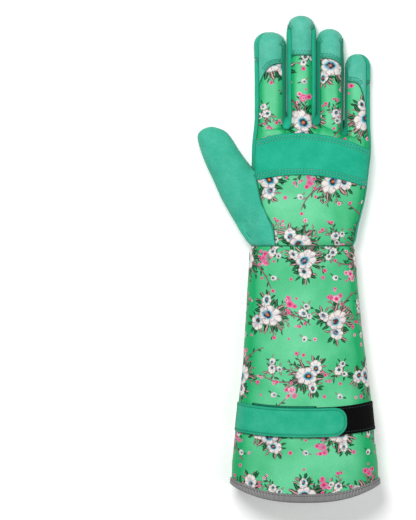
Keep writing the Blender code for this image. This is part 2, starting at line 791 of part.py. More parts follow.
def thumb_back_rows(columns):
    rows = []
    lift = Vector((0.0, 0.0, SEAM_GAP / 2))
    seam_rows = (SEAM_GAP / 2 / HAND_LENGTH,) + BACK_ROWS
    for share, seam_share_up in zip((0.0,) + THUMB_BASE_ROWS, seam_rows):
        left = thumb_left_end(share)
        right, right_normal = outer_seam(0, seam_share_up * HAND_LENGTH).edge(1)
        if share == THUMB_BASE_ROWS[-1]:
            right_normal = mix(right_normal, Vector((0.0, 1.0, 0.0)), 0.6).normalized()
        line = []
        for i, across in enumerate(spread(columns)):
            if i == 0:
                line.append((left + lift, Vector((-1.0, 0.0, 0.0))))
            elif i == columns:
                line.append((right, right_normal))
            else:
                x, y = mix(left.x, right.x, across), mix(left.y, right.y, across)
                inner = thumb_inner(y)
                outer = mix(left.x, thumb_outer(y / THUMB_RISE), across)
                crown = (THUMB_HEIGHT - THUMB_CENTRE) * smooth(0.0, 0.4, y / THUMB_RISE)
                z = thumb_top(x, y, outer, inner, crown)
                end = right.z
                z = mix(z, max(z, end), across ** 6)
                tilt = mix(-math.pi / 2, hand_tilt(right.x, y), smooth(0.0, 0.55, across))
                line.append((Vector((x, y, z)), Vector((math.sin(tilt), 0.0, math.cos(tilt)))))
        rows.append(line)
    for number, row in enumerate(THUMB_FREE_ROWS):
        left, right = thumb_left_end(row["left"]), thumb_right_end(row["right"])
        crown = (THUMB_HEIGHT - THUMB_CENTRE) * row["dome"]
        lean = math.acos(min(1.0, row["dome"])) if row["dome"] < 0.9 else 0.0
        line = []
        for i, across in enumerate(spread(columns)):
            point = mix(left, right, across)
            u = 2.0 * across - 1.0
            height = crown * dome(u)
            tilt = math.pi / 2 * u
            level = Vector((math.sin(tilt), 0.0, math.cos(tilt))) * math.cos(lean)
            normal = level + Vector((-0.2, 0.98, 0.0)) * math.sin(lean)
            if number == 0:
                normal = mix(normal, Vector((0.0, 1.0, 0.0)), max(0.0, u) ** 2)
            line.append((point + lift + Vector((0.0, 0.0, height)), normal.normalized()))
        rows.append(line)
    return rows


def thumb_under_row(row, left, right, columns):
    """Underside of the thumb: from its outer edge, round below, to its inner edge."""
    drop = Vector((0.0, 0.0, -SEAM_GAP / 2))
    lean = math.acos(min(1.0, row["dome"])) if row["dome"] < 0.9 else 0.0
    line = []
    for across in spread(columns):
        u = 2.0 * across - 1.0
        point = mix(left, right, across)
        depth = (point.z + drop.z) * row["depth"]
        flat = 0.55
        curl = max(0.0, (abs(u) - flat) / (1.0 - flat))
        z = point.z + drop.z - depth * (1.0 - curl ** 3)
        tilt = math.pi - math.pi / 2 * abs(u) ** 2
        side = math.copysign(math.sin(tilt), u)
        level = Vector((side, 0.0, math.cos(tilt))) * math.cos(lean)
        normal = level + Vector((-0.2, 0.98, 0.0)) * math.sin(lean)
        line.append((Vector((point.x, point.y, z)), normal.normalized()))
    return line


def add_palm(shell):
    """Underside of the hand and fingers, with the walls round its outer sides."""
    columns = 4
    for k in range(4):
        rows = [palm_row(k, *palm_edges(k, station), columns) for station in palm_stations()]
        end = TIP_LINES[k]["palm"] * HAND_LENGTH - SEAM_GAP / 2
        rows.append(palm_row(k, *palm_edges(k, ("y", end)), columns))
        shell.add_rows(rows)
    for k in (0, 3):
        rows = []
        stations = palm_stations() + [("y", TIP_LINES[k]["palm"] * HAND_LENGTH - SEAM_GAP / 2)]
        for station in stations:
            if k == 0 and station[0] == "hand" and station[1] <= PALM_ROWS[WEB_ROW]:
                continue
            edge = palm_edges(k, station)[0 if k == 0 else 1]
            rows.append(side_columns(k, edge[0].y))
        if k == 0:
            rows.insert(0, web_crease(True))
        shell.add_rows(rows)


def web_crease(with_hand):
    """Line where thumb and hand part: down from the back seam, then along the crease."""
    front = PALM_ROWS[WEB_ROW] * HAND_LENGTH
    bottom = Vector((hand_left(front), front, palm_floor(front)))
    top = thumb_right_end(0.0) - Vector((0.0, 0.0, SEAM_GAP / 2))
    inward = Vector((0.0, 1.0, 0.0))
    crease = [(mix(top, bottom, share), inward) for share in (0.0, 0.5, 1.0)]
    if not with_hand:
        return crease
    seam_y = BACK_ROWS[len(THUMB_BASE_ROWS) - 1] * HAND_LENGTH + 2 * SEAM_GAP
    start, normal = outer_seam(0, seam_y).edge(1)
    between = mix(start, top, 0.5)
    return [(start, normal), (between, mix(normal, inward, 0.5).normalized())] + crease


def add_thumb_front(shell):
    """Underside of the thumb, from the wrist to the black tip."""
    columns = 6
    drop = Vector((0.0, 0.0, -SEAM_GAP / 2))
    rows = []
    for i, share in enumerate((0.0,) + THUMB_BASE_ROWS):
        hand_y = SEAM_GAP / 2 if i == 0 else PALM_ROWS[i - 1] * HAND_LENGTH
        right = Vector((hand_left(hand_y), hand_y, palm_floor(hand_y)))
        rows.append(under_row(thumb_left_end(share) + drop, right, columns))
    left = thumb_left_end(THUMB_FREE_ROWS[0]["left"]) + drop
    crease = list(reversed(web_crease(False)))
    rows.append(under_row(left, crease[0][0], columns))
    shell.add_rows(rows)
    free = [rows[-1] + crease[1:]]
    for row in THUMB_FREE_ROWS[1:THUMB_TIP_ROW + 1]:
        ends = [thumb_left_end(row["left"]), thumb_right_end(row["right"])]
        if row is THUMB_FREE_ROWS[THUMB_TIP_ROW]:
            shift = Vector((0.0, SEAM_GAP / 2, 0.0))
            ends = [end - shift for end in ends]
        free.append(thumb_under_row(row, *ends, columns + 2))
    shell.add_rows(free)


def under_row(left, right, columns):
    """Underside between the outer edge of the thumb and the middle of the hand."""
    line = []
    for i in range(columns + 1):
        across = i / columns
        reach = 1.0 - math.cos(math.pi / 2 * across) if across < 1.0 else 1.0
        x, y = mix(left.x, right.x, reach), mix(left.y, right.y, reach)
        floor = right.z * smooth(0.3, 1.0, reach)
        fall = min(1.0, across / 0.5)
        z = mix(left.z, floor, 1.0 - (1.0 - fall) ** 2)
        if i == 0:
            z = left.z
        tilt = math.pi / 2 + math.pi / 2 * min(1.0, across / 0.5)
        line.append((Vector((x, y, z)), Vector((-math.sin(tilt), 0.0, math.cos(tilt)))))
    return line


def add_tip_front(shell, k):
    """Front of a fingertip, with its wall round the outer side of the hand."""
    columns = 4
    base = tip_y(k) - FINGERTIP_LENGTH
    start = TIP_LINES[k]["palm"] * HAND_LENGTH + SEAM_GAP / 2
    places = [start, base - SEAM_LEAD * FINGERTIP_LENGTH, base]
    places += [base + FINGERTIP_LENGTH * math.sin(math.radians(a)) for a in TIP_ANGLES[:-1]]
    rows = [palm_row(k, *palm_edges(k, ("y", y)), columns) for y in places]
    end = tip_y(k)
    centre = (finger_side(k, -1, end) + finger_side(k, 1, end)) / 2
    point = Vector((centre, end, finger_centre_height(k) - SEAM_GAP / 2))
    tip = (point, Vector((0.0, 1.0, 0.0)))
    shell.add_rows(rows + [[tip] * (columns + 1)])
    if k in (0, 3):
        sides = [side_columns(k, y) for y in places]
        shell.add_rows(sides + [[tip] * len(sides[0])])


def add_fourchette(shell, slot):
    """Strip between two fingers: up one, round the crotch and up the other."""
    row = SLOTS[slot]
    radius = SLOT_RADIUS[slot]
    shares = (0.0, 0.35, 0.7, 1.0, 1.4, 1.75, 2.0)
    middle_start = row["middle"] * HAND_LENGTH + FINGER_GAP / 2
    centre_x = EDGES[slot + 1]

    def arm_rows(arm):
        k = slot if arm < 0 else slot + 1
        base = tip_y(k) - FINGERTIP_LENGTH
        full = base - SEAM_LEAD * FINGERTIP_LENGTH
        starts = (row["back"] * HAND_LENGTH + radius, middle_start,
                  row["palm"] * HAND_LENGTH + radius)
        places = [[mix(start, full, share) for start in starts] for share in (0.0, 0.33, 0.66, 1.0)]
        last = base + FINGERTIP_LENGTH * math.sin(math.radians(TIP_ANGLES[0]))
        rows = []
        for top_y, mid_y, low_y in places + [[base] * 3, [last] * 3]:
            top = back_slot_seam(slot, 0.0, arm, top_y).edge(1)
            low = palm_slot_seam(slot, 0.0, arm, low_y).edge(-1)
            point = Vector((finger_side(k, -arm, mid_y), mid_y, finger_centre_height(k)))
            middle = (point, Vector((-arm, 0.0, 0.0)))
            rows.append([side_point(top, middle, low, value) for value in shares])
        return rows

    rows = list(reversed(arm_rows(-1)))
    for angle in (-50.0, 0.0, 50.0):
        turn = math.radians(angle)
        outward = Vector((-math.sin(turn), math.cos(turn), 0.0))
        top = back_slot_seam(slot, angle).edge(1)
        low = palm_slot_seam(slot, angle).edge(-1)
        height = (finger_centre_height(slot) + finger_centre_height(slot + 1)) / 2
        point = Vector((centre_x, middle_start, height)) - outward * (FINGER_GAP / 2)
        rows.append([side_point(top, (point, outward), low, value) for value in shares])
    shell.add_rows(rows + arm_rows(1))


def cuff_section(share):
    """Half width, centre and height of the cuff at a share of its length."""
    flare = from_table(CUFF_FLARE, share)
    half = mix(WRIST_WIDTH, HEM_WIDTH, flare) / 2
    centre = mix(WRIST_OFFSET, HEM_OFFSET, min(1.0, share / 0.6))
    height = mix(WRIST_HEIGHT, HEM_HEIGHT, smooth(0.0, 1.0, share))
    return half, centre, height


def hem_lift(share):
    """Rise of the cuff's underside that leaves room for the binding below it."""
    return (LAYER_GAP + BINDING_WALL) * smooth(0.80, 0.93, share)


def bow_share(turn):
    """How much of the cuff's bow a place round it takes: none at the two sides."""
    return abs(math.sin(turn)) ** 1.75


def cuff_point(share, turn, lift=0.0):
    """Point on the cuff at an angle round it, 90 degrees being the back, and its normal."""
    half, centre, height = cuff_section(share)
    low = CENTRE_HEIGHT * height
    floor = hem_lift(share)
    side, rise = math.cos(turn), math.sin(turn)
    power = 2.0 / DOME_POWER
    x = centre + half * math.copysign(abs(side) ** power, side)
    if rise >= 0.0:
        z = low + (height - low) * rise ** power
    else:
        z = max(floor, low - (low - floor) * CUFF_FLAT * (-rise) ** power)
    slope_x = math.copysign(abs(side) ** (2.0 - power), side) / half
    slope_z = math.copysign(abs(rise) ** (2.0 - power), rise) / ((height - low) if rise > 0 else low)
    normal = Vector((slope_x, 0.0, slope_z)).normalized()
    if rise < 0.0 and z <= floor:
        normal = Vector((0.0, 0.0, -1.0))
    bow = CUFF_BOW * share ** 3 * bow_share(turn)
    y = -SEAM_GAP / 2 - share * (CUFF_LENGTH - SEAM_GAP) - bow
    return Vector((x, y, z)) + normal * lift, normal


def build_cuff(material):
    shell = Shell(CLOTH_WALL)
    rows = []
    for share in CUFF_ROWS:
        turns = [2.0 * math.pi * i / CUFF_SIDES for i in range(CUFF_SIDES)]
        rows.append([cuff_point(share, turn) for turn in turns])
    shell.add_rows(rows, closed=True)
    return shell.build("cuff", material)


def build_binding(material):
    """Band folded round the cuff's edge, outside, under and inside."""
    clear, wall = LAYER_GAP, BINDING_WALL
    deep = CLOTH_WALL + clear
    band = HEM_BAND / CUFF_LENGTH
    profile = (
        (-band, clear), (-band, clear + wall), (-0.3 * band, clear + wall), (0.0, clear + wall),
        (0.2 * band, 0.6 * clear), (0.2 * band, -deep), (0.0, -deep - wall), (-band, -deep - wall),
        (-band, -deep), (0.05 * band, -deep), (0.05 * band, clear),
    )
    points, faces = [], []
    count = len(profile)
    for i in range(CUFF_SIDES):
        turn = 2.0 * math.pi * i / CUFF_SIDES
        for along, lift in profile:
            point, normal = cuff_point(min(1.0, 1.0 + along), turn, lift)
            if along > 0.0:
                point.y -= along * CUFF_LENGTH
            points.append(point)
    for i in range(CUFF_SIDES):
        j = (i + 1) % CUFF_SIDES
        for a in range(count):
            b = (a + 1) % count
            faces.append([i * count + a, i * count + b, j * count + b, j * count + a])
    return solid("hem_binding", points, faces, material)


def turn_at(x, share):
    """Angle round the cuff's back above a place across it."""
    half, centre, height = cuff_section(share)
    across = max(-1.0, min(1.0, (x - centre) / half))
    side = math.copysign(abs(across) ** (DOME_POWER / 2.0), across)
    return math.acos(side)


def strap_lift(x, start, lifts, ramp):
    """Height of a strap over the cuff: the first lift at its sewn end, the second beyond."""
    return mix(lifts[0], lifts[1], smooth(0.0, ramp, x - start))


def build_strap(name, material, ends, height, lifts, wall, nudge=0.0, round_end=False):
    """Strap laid across the cuff's back, with its corners over the cuff's own ones.

    A rounded end is square to the strap. A straight one follows the cuff's side.
    """
    shell = Shell(wall)
    start, end = ends
    middle = STRAP_MIDDLE + nudge / CUFF_LENGTH
    corner = STRAP_CORNER * height if round_end else 0.0
    first, last = turn_at(start, middle), turn_at(end - corner, middle)
    step = 2.0 * math.pi / CUFF_SIDES
    turns = [step * i for i in range(CUFF_SIDES)]
    turns = [turn for turn in reversed(turns) if last + 0.3 * step < turn < first - 0.3 * step]
    turns = [first] + turns + [last]
    widths = [1.0] * len(turns)
    if round_end:
        for angle in (25.0, 48.0, 68.0, 82.0):
            bend = math.radians(angle)
            turns.append(turn_at(end - corner * (1.0 - math.sin(bend)), middle))
            widths.append(math.cos(bend) ** 0.8)
    rows = []
    for turn, width in zip(turns, widths):
        slope = CUFF_LENGTH + 3.0 * CUFF_BOW * middle ** 2 * bow_share(turn)
        x = cuff_point(middle, turn)[0].x
        lift = strap_lift(x, start, lifts, 0.75 * BASE_INSET) + wall
        square = smooth(start, end, x) if round_end else 0.0
        line = []
        for side in (-1.0, -0.33, 0.33, 1.0):
            share = middle + height / 2 * width * side / slope
            line.append(cuff_point(share, mix(turn, turn_at(x, share), square), lift))
        rows.append(line)
    shell.add_rows(rows)
    return shell.build(name, material)


def build_band(material):
    """Band over the knuckles, laid on the back panel between its two side seams."""
    shell = Shell(BAND_WALL)
    columns, steps = 18, 6
    rows = []
    for i in range(columns + 1):
        across = i / columns
        line = []
        for j in range(steps + 1):
            up = j / steps
            x = mix(PALM_LEFT, PALM_RIGHT, across)
            for _ in range(3):
                bend = x * x / PALM_WIDTH
                low = BAND_TOP - BAND_HEIGHT - BAND_ARCH["low"] * bend
                y = mix(low, BAND_TOP - BAND_ARCH["top"] * bend, up)
                left = outer_seam(0, y).point.x + SEAM_GAP
                right = outer_seam(3, y).point.x - SEAM_GAP
                x = mix(left, right, across)
            line.append(on_back(x, y, LAYER_GAP + BAND_WALL))
        rows.append(line)
    shell.add_rows(rows)
    return shell.build("knuckle_band", material)


def on_back(x, y, lift):
    """Point over the back of the hand, lifted square to it."""
    def height(px, py):
        px = min(max(px, outer_seam(0, py).point.x), outer_seam(3, py).point.x)
        k = sum(px > edge for edge in EDGES[1:4])
        edges = []
        for place in (k, k + 1):
            if place in (0, 4):
                edges.append(outer_seam(k, py).point)
            else:
                blend = crotch_blend(py, SLOTS[place - 1]["back"] * HAND_LENGTH)
                z = mix(hand_top(EDGES[place], py), slot_seam_height(place - 1), blend)
                edges.append(Vector((EDGES[place], py, z)))
        across = (px - edges[0].x) / (edges[1].x - edges[0].x)
        rim = mix(edges[0].z, edges[1].z, across)
        return strand_height(k, px, py, rim, 2.0 * across - 1.0)

    step = 0.5 * MM
    slope_x = (height(x + step, y) - height(x - step, y)) / (2 * step)
    slope_y = (height(x, y + step) - height(x, y - step)) / (2 * step)
    normal = Vector((-slope_x, -slope_y, 1.0)).normalized()
    return Vector((x, y, height(x, y))) + normal * lift, normal


def build_pad(material):
    """Padded patch under the palm, with a groove that bends round the ball of the thumb."""
    foot = PAD_FOOT * HAND_LENGTH
    side = PALM_LEFT + PAD_SIDE * PALM_WIDTH
    outline = [Vector((side + x * PAD_WIDTH, foot + y * PAD_LENGTH, 0.0)) for x, y in PAD_OUTLINE]
    count = len(outline)
    inset = []
    for i, point in enumerate(outline):
        along = (outline[(i + 1) % count] - outline[i - 1]).normalized()
        inset.append(point + Vector((along.y, -along.x, 0.0)) * PAD_BEVEL)
    heights = ((inset, 0.0), (outline, PAD_BEVEL), (outline, PAD_THICKNESS))
    points = []
    for ring, z in heights:
        points += [point + Vector((0.0, 0.0, z)) for point in ring]
    faces = [list(range(count)), [2 * count + i for i in range(count)]]
    for ring in (0, 1):
        for i in range(count):
            j = (i + 1) % count
            base = ring * count
            faces.append([base + i, base + j, base + count + j, base + count + i])
    return solid("palm_pad", points, faces, material)


def build_all():
    teal = finish("goat_leather", (0.03, 0.42, 0.31), 0.6)
    pale_teal = finish("goat_leather_worn", (0.07, 0.47, 0.36), 0.6)
    cloth = finish("printed_satin", (0.10, 0.60, 0.33), 0.45)
    black = finish("black_touch_leather", (0.012, 0.012, 0.012), 0.5)
    pile = finish("black_loop_pile", (0.004, 0.004, 0.004), 0.9)
    grey = finish("grey_braid", (0.25, 0.25, 0.25), 0.8)
    pieces = []

    shell = Shell(CLOTH_WALL)
    for k in range(4):
        shell.add_rows(back_strand_rows(k, 5))
    pieces.append(shell.build("back_panel", cloth))

    shell = Shell(LEATHER_WALL)
    add_palm(shell)
    add_thumb_front(shell)
    pieces.append(shell.build("palm_panel", teal))

    shell = Shell(LEATHER_WALL)
    shell.add_rows(thumb_back_rows(9))
    pieces.append(shell.build("thumb_back", pale_teal))

    shell = Shell(LEATHER_WALL)
    rows = []
    for row in THUMB_FREE_ROWS[THUMB_TIP_ROW:]:
        ends = [thumb_left_end(row["left"]), thumb_right_end(row["right"])]
        if row is THUMB_FREE_ROWS[THUMB_TIP_ROW]:
            ends = [end + Vector((0.0, SEAM_GAP / 2, 0.0)) for end in ends]
        rows.append(thumb_under_row(row, *ends, 8))
    shell.add_rows(rows)
    pieces.append(shell.build("touch_tip_thumb", black))

    for k, row in enumerate(FINGERS):
        shell = Shell(LEATHER_WALL)
        shell.add_rows(tip_back_rows(k, 5))
        pieces.append(shell.build("tip_cap_" + row["name"], pale_teal))
        shell = Shell(LEATHER_WALL)
        add_tip_front(shell, k)
        front = "touch_tip_" if k < 2 else "tip_panel_"
        pieces.append(shell.build(front + row["name"], black if k < 2 else teal))

    for slot, row in enumerate(SLOTS):
        shell = Shell(LEATHER_WALL)
        add_fourchette(shell, slot)
        pieces.append(shell.build("fourchette_" + row["pair"], teal))

    pieces.append(build_band(teal))
    pieces.append(build_pad(teal))
    pieces.append(build_cuff(cloth))
    pieces.append(build_binding(grey))

    half, centre, _ = cuff_section(STRAP_MIDDLE)
    left, right = centre - half, centre + half
    base_start = left + BASE_INSET
    base_end = base_start + BASE_LENGTH
    low = (LAYER_GAP, LAYER_GAP)
    high = (LAYER_GAP, 2 * LAYER_GAP + PATCH_WALL)
    pieces.append(build_strap("strap_base", teal, (base_start, base_end), STRAP_HEIGHT,
                              low, PATCH_WALL, -STRAP_SHIFT))
    pieces.append(build_strap("loop_patch", pile, (base_end + SEAM_GAP, right - PATCH_MARGIN),
                              PATCH_HEIGHT, low, PATCH_WALL))
    tab_start = left + STRAP_MARGIN
    pieces.append(build_strap("strap_tab", teal, (tab_start, tab_start + STRAP_LENGTH),
                              STRAP_HEIGHT, high, STRAP_WALL, STRAP_SHIFT, True))
    return pieces


def stand(pieces):
    """Hang every piece on an empty that centres the glove's box over the origin."""
    low = Vector((1.0, 1.0, 1.0))
    high = -low
    for piece in pieces:
        for vertex in piece.data.vertices:
            for axis in range(3):
                low[axis] = min(low[axis], vertex.co[axis])
                high[axis] = max(high[axis], vertex.co[axis])
    carrier = bpy.data.objects.new("glove", None)
    bpy.context.scene.collection.objects.link(carrier)
    carrier.location = (-(low.x + high.x) / 2, -(low.y + high.y) / 2, -low.z)
    for piece in pieces:
        piece.parent = carrier


for old in list(bpy.data.objects):
    bpy.data.objects.remove(old, do_unlink=True)
stand(build_all())
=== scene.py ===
"""Looks of a long-cuffed pruning glove: leather, printed satin, stitches, floor and light.

Metres. +Z is up and the back of the hand, +Y points to the fingertips, +X to the little finger.
"""

import math

import bmesh
import bpy
import numpy as np
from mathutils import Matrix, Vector, noise
from mathutils.bvhtree import BVHTree
from mathutils.kdtree import KDTree


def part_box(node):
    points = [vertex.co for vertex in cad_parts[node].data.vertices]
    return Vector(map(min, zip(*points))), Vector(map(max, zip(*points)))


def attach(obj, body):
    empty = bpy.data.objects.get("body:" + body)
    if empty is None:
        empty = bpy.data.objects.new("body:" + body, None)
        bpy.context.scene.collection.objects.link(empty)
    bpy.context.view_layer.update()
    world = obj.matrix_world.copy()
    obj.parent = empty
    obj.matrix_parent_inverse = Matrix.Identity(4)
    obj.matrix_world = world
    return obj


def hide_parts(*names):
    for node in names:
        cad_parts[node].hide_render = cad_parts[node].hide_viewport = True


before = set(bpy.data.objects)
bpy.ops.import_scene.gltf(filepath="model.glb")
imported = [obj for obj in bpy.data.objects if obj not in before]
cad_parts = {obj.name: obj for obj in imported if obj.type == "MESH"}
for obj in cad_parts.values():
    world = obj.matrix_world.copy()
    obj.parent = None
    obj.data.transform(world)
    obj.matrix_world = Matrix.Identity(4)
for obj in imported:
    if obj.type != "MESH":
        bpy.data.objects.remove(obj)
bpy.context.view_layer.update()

MM = 0.001

# Cuff, as in the source
CUFF_LENGTH = 201.5 * MM
CUFF_BOW = 15.0 * MM
WRIST_WIDTH = 89.2 * MM
WRIST_HEIGHT = 38.0 * MM
HEM_WIDTH = 125.2 * MM
HEM_HEIGHT = 54.0 * MM
WRIST_OFFSET = 2.1 * MM
HEM_OFFSET = 4.25 * MM
CLOTH_WALL = 1.3 * MM
BINDING_WALL = 1.0 * MM
SEAM_GAP = 0.3 * MM
LAYER_GAP = 0.3 * MM
DOME_POWER = 2.4
CENTRE_HEIGHT = 0.42
CUFF_FLAT = 1.12
OFFSET_FULL = 0.6
BINDING_START = 0.80
BINDING_FULL = 0.93
BOW_GROWTH = 3
BOW_ROUNDNESS = 1.75
CUFF_FLARE = (
    (0.000, 0.000), (0.126, 0.095), (0.253, 0.190), (0.354, 0.285), (0.506, 0.453),
    (0.607, 0.570), (0.708, 0.710), (0.810, 0.830), (0.910, 0.965), (1.000, 1.000),
)

# Places that the frame gives: the wrist seam and the line up the middle of the hand
WRIST_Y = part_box("cuff")[1][1] + SEAM_GAP / 2
MIDDLE_X = (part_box("cuff")[0][0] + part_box("cuff")[1][0]) / 2 - HEM_OFFSET

# Grid of the cuff's cloth, round it and along it
CUFF_COLUMNS = 176
CUFF_ROWS = 112

# Thread: pitch, length and thickness of a stitch, coarser than the real 0.4 mm thread so it shows
STITCH_PITCH = 2.7 * MM
STITCH_LENGTH = 2.0 * MM
STITCH_WIDTH = 0.46 * MM
STITCH_LIFT = 0.12 * MM

# Photograph's frame: its height on the glove's middle level, and its centre from the wrist seam
FRAME_HEIGHT = 442.0 * MM
FRAME_X = -78.2 * MM
FRAME_Y = -11.9 * MM
MIDDLE_LEVEL = 25.0 * MM
LENS_MM = 600.0
SENSOR_MM = 36.0

# Print: size of the repeat and of its motifs
PRINT_SEED = 11
REPEAT_WIDTH = 56.0 * MM
REPEAT_HEIGHT = 50.0 * MM
BLOOM_RADIUS = 10.8 * MM

# Print: how many motifs of a kind may overlap at one spot, the lowest kind first
MOTIF_LAYERS = (("leaf", 5), ("stem", 3), ("blossom", 2), ("bloom", 2))
STEM_STEPS = 10

# Print: radius, distance in mm and direction of each blossom in a cluster
BLOSSOM_SPOTS = ((3.7, 0.0, 0.0), (2.7, 5.0, 1.0), (2.3, 4.6, 3.2), (1.6, 6.2, 4.6), (1.3, 7.4, 2.1))


def mix(a, b, t):
    return a + (b - a) * t


def smooth(start, end, value):
    t = np.clip((value - start) / (end - start), 0.0, 1.0)
    return t * t * (3.0 - 2.0 * t)


def linear(code):
    """Turn a colour written as sRGB hex into linear values for a shader."""
    values = []
    for i in (0, 2, 4):
        v = int(code[i:i + 2], 16) / 255.0
        values.append(v / 12.92 if v <= 0.04045 else ((v + 0.055) / 1.055) ** 2.4)
    return (*values, 1.0)


def live_output(node):
    """A node's first output that is in use with its settings."""
    return next(socket for socket in node.outputs if socket.enabled)


def add(tree, kind, inputs=None, **settings):
    """Add a node with its settings, and link or set its inputs, by name or by number.

    A kind without a family is a shader node's. An input may be a value, a socket, or a node,
    which stands for its first live output.
    """
    family = "" if kind.startswith(("Geometry", "Function", "NodeGroup")) else "ShaderNode"
    new = tree.nodes.new(family + kind)
    for name, value in settings.items():
        setattr(new, name, value)
    for name, value in (inputs or {}).items():
        live = [socket for socket in new.inputs if socket.enabled and socket.name == name]
        target = live[0] if live else new.inputs[name]
        if isinstance(value, bpy.types.Node):
            value = live_output(value)
        if isinstance(value, bpy.types.NodeSocket):
            tree.links.new(value, target)
        else:
            target.default_value = value
    return new


def new_object(name, mesh):
    piece = bpy.data.objects.new(name, mesh)
    bpy.context.scene.collection.objects.link(piece)
    return piece


def apply_modifiers(piece):
    """Replace a piece's mesh by what its modifiers make of it."""
    bpy.context.view_layer.update()
    graph = bpy.context.evaluated_depsgraph_get()
    mesh = bpy.data.meshes.new_from_object(piece.evaluated_get(graph))
    piece.modifiers.clear()
    old, piece.data = piece.data, mesh
    bpy.data.meshes.remove(old)


# Shape of the cuff, the same rule as in the source

def cuff_section(share):
    flare = np.interp(share, [row[0] for row in CUFF_FLARE], [row[1] for row in CUFF_FLARE])
    half = mix(WRIST_WIDTH, HEM_WIDTH, flare) / 2
    centre = mix(WRIST_OFFSET, HEM_OFFSET, min(1.0, share / OFFSET_FULL))
    return half, centre, mix(WRIST_HEIGHT, HEM_HEIGHT, smooth(0.0, 1.0, share))


def cuff_point(share, turn, lift=0.0):
    """Point on the cuff at an angle round it, 90 degrees being the back."""
    half, centre, height = cuff_section(share)
    low = CENTRE_HEIGHT * height
    floor = (LAYER_GAP + BINDING_WALL) * smooth(BINDING_START, BINDING_FULL, share)
    side, rise = math.cos(turn), math.sin(turn)
    power = 2.0 / DOME_POWER
    x = centre + half * math.copysign(abs(side) ** power, side)
    if rise >= 0.0:
        z = low + (height - low) * rise ** power
    else:
        z = max(floor, low - (low - floor) * CUFF_FLAT * (-rise) ** power)
    depth = (height - low) if rise > 0 else low
    slope_x = math.copysign(abs(side) ** (2.0 - power), side) / half
    slope_z = math.copysign(abs(rise) ** (2.0 - power), rise) / depth
    normal = Vector((slope_x, 0.0, slope_z)).normalized()
    if rise < 0.0 and z <= floor:
        normal = Vector((0.0, 0.0, -1.0))
    bow = CUFF_BOW * share ** BOW_GROWTH * abs(rise) ** BOW_ROUNDNESS
    y = -SEAM_GAP / 2 - share * (CUFF_LENGTH - SEAM_GAP) - bow
    return Vector((MIDDLE_X + x, WRIST_Y + y, z)) + normal * lift


# Folds and soft unevenness, one field for the whole glove, so that neighbours move together.
# A height is how far a fold stands out, and a rate is how many bumps fit into a metre.
BROAD_HEIGHT = 0.75 * MM
BROAD_RATE = 34.0
DENT_HEIGHT = 0.28 * MM
DENT_RATE = 95.0
DENT_SHIFT = Vector((7.0, 3.0, 1.0))
PINCH_DEPTH = -1.6 * MM
PINCH_REACH = 3.0 * MM
GATHER_HEIGHT = 1.6 * MM
GATHER_REACH = 24.0 * MM
GATHER_RATES = (75.0, 14.0, 40.0)
LONG_HEIGHT = 0.9 * MM
LONG_RATES = (22.0, 6.0, 14.0)
LONG_SHIFT = 4.0
LONG_START = 40.0 * MM

# Middle level inside the hand and inside the cuff, and where one turns into the other
HAND_LEVEL = 10.0 * MM
CUFF_LEVEL = 23.0 * MM
LEVEL_ENDS = (40.0 * MM, -60.0 * MM)
SIDE_SHARE = 0.35
LEVEL_SOFTNESS = 8.0 * MM
FLOOR_HOLD = (0.5 * MM, 5.0 * MM)


def fold_field(point):
    """How far the cloth or leather stands out from its plain shape at a point."""
    x, y = point.x - MIDDLE_X, point.y - WRIST_Y
    broad = noise.noise(point * BROAD_RATE) * BROAD_HEIGHT
    small = noise.noise(point * DENT_RATE + DENT_SHIFT) * DENT_HEIGHT
    pinch = PINCH_DEPTH * math.exp(-(y / PINCH_REACH) ** 2)
    gather = math.exp(-abs(y) / GATHER_REACH) * GATHER_HEIGHT
    a, b, c = GATHER_RATES
    gather *= noise.noise(Vector((x * a, y * b, point.z * c)))
    long_fold = 0.0
    if y < 0.0:
        a, b, c = LONG_RATES
        long_fold = LONG_HEIGHT * noise.noise(Vector((x * a + LONG_SHIFT, y * b, point.z * c)))
        long_fold *= smooth(0.0, LONG_START, -y)
    return broad + small + pinch + gather + long_fold


def outward(point):
    """Direction away from the glove's inside at a point, shorter near its middle level."""
    level = mix(HAND_LEVEL, CUFF_LEVEL, smooth(*LEVEL_ENDS, point.y - WRIST_Y))
    way = Vector(((point.x - MIDDLE_X) * SIDE_SHARE, 0.0, point.z - level)) / LEVEL_SOFTNESS
    return way / max(1.0, way.length)


def ruffle(piece):
    """Move every point of a piece by the field of folds, and none near the floor."""
    for vertex in piece.data.vertices:
        free = smooth(*FLOOR_HOLD, vertex.co.z)
        vertex.co += outward(vertex.co) * fold_field(vertex.co) * free


# How far from the wrist seam the palm is drawn to the cuff's section
WRIST_REACH = 28.0 * MM


def fit_wrist(piece):
    """Round the palm's square lower corners near the wrist, to the cuff's own section."""
    half, centre, height = cuff_section(0.0)
    power = DOME_POWER
    low = CENTRE_HEIGHT * height
    for vertex in piece.data.vertices:
        near = 1.0 - smooth(0.0, WRIST_REACH, vertex.co.y - WRIST_Y)
        side = vertex.co.x - MIDDLE_X - centre
        drop = max(0.0, low - vertex.co.z)
        square = max(abs(side) / half, drop / low)
        rounded = (abs(side / half) ** power + (drop / (low * CUFF_FLAT)) ** power) ** (1.0 / power)
        scale = mix(1.0, square / max(1e-6, rounded), near)
        if drop > 0.0:
            vertex.co.x = MIDDLE_X + centre + side * scale
            vertex.co.z = max(0.0, low - drop * scale)


# Leather and cloth pieces drawn from the frame's own solids

# An edge is a cut edge of the leather or cloth above the first angle, and shaded sharp above the
# second. Triangles join into a quad below the other two: between them, and off its right angles.
RIM_ANGLE = math.radians(48.0)
SHADE_ANGLE = math.radians(50.0)
FLAT_ANGLE = math.radians(30.0)
QUAD_ANGLE = math.radians(50.0)

# How much of the shrinking is given back in each pass, and how often
HOLD_FORM = 0.85
HOLD_PASSES = 2
RELAX_STEPS = 5
RELAX_SHARE = 0.5


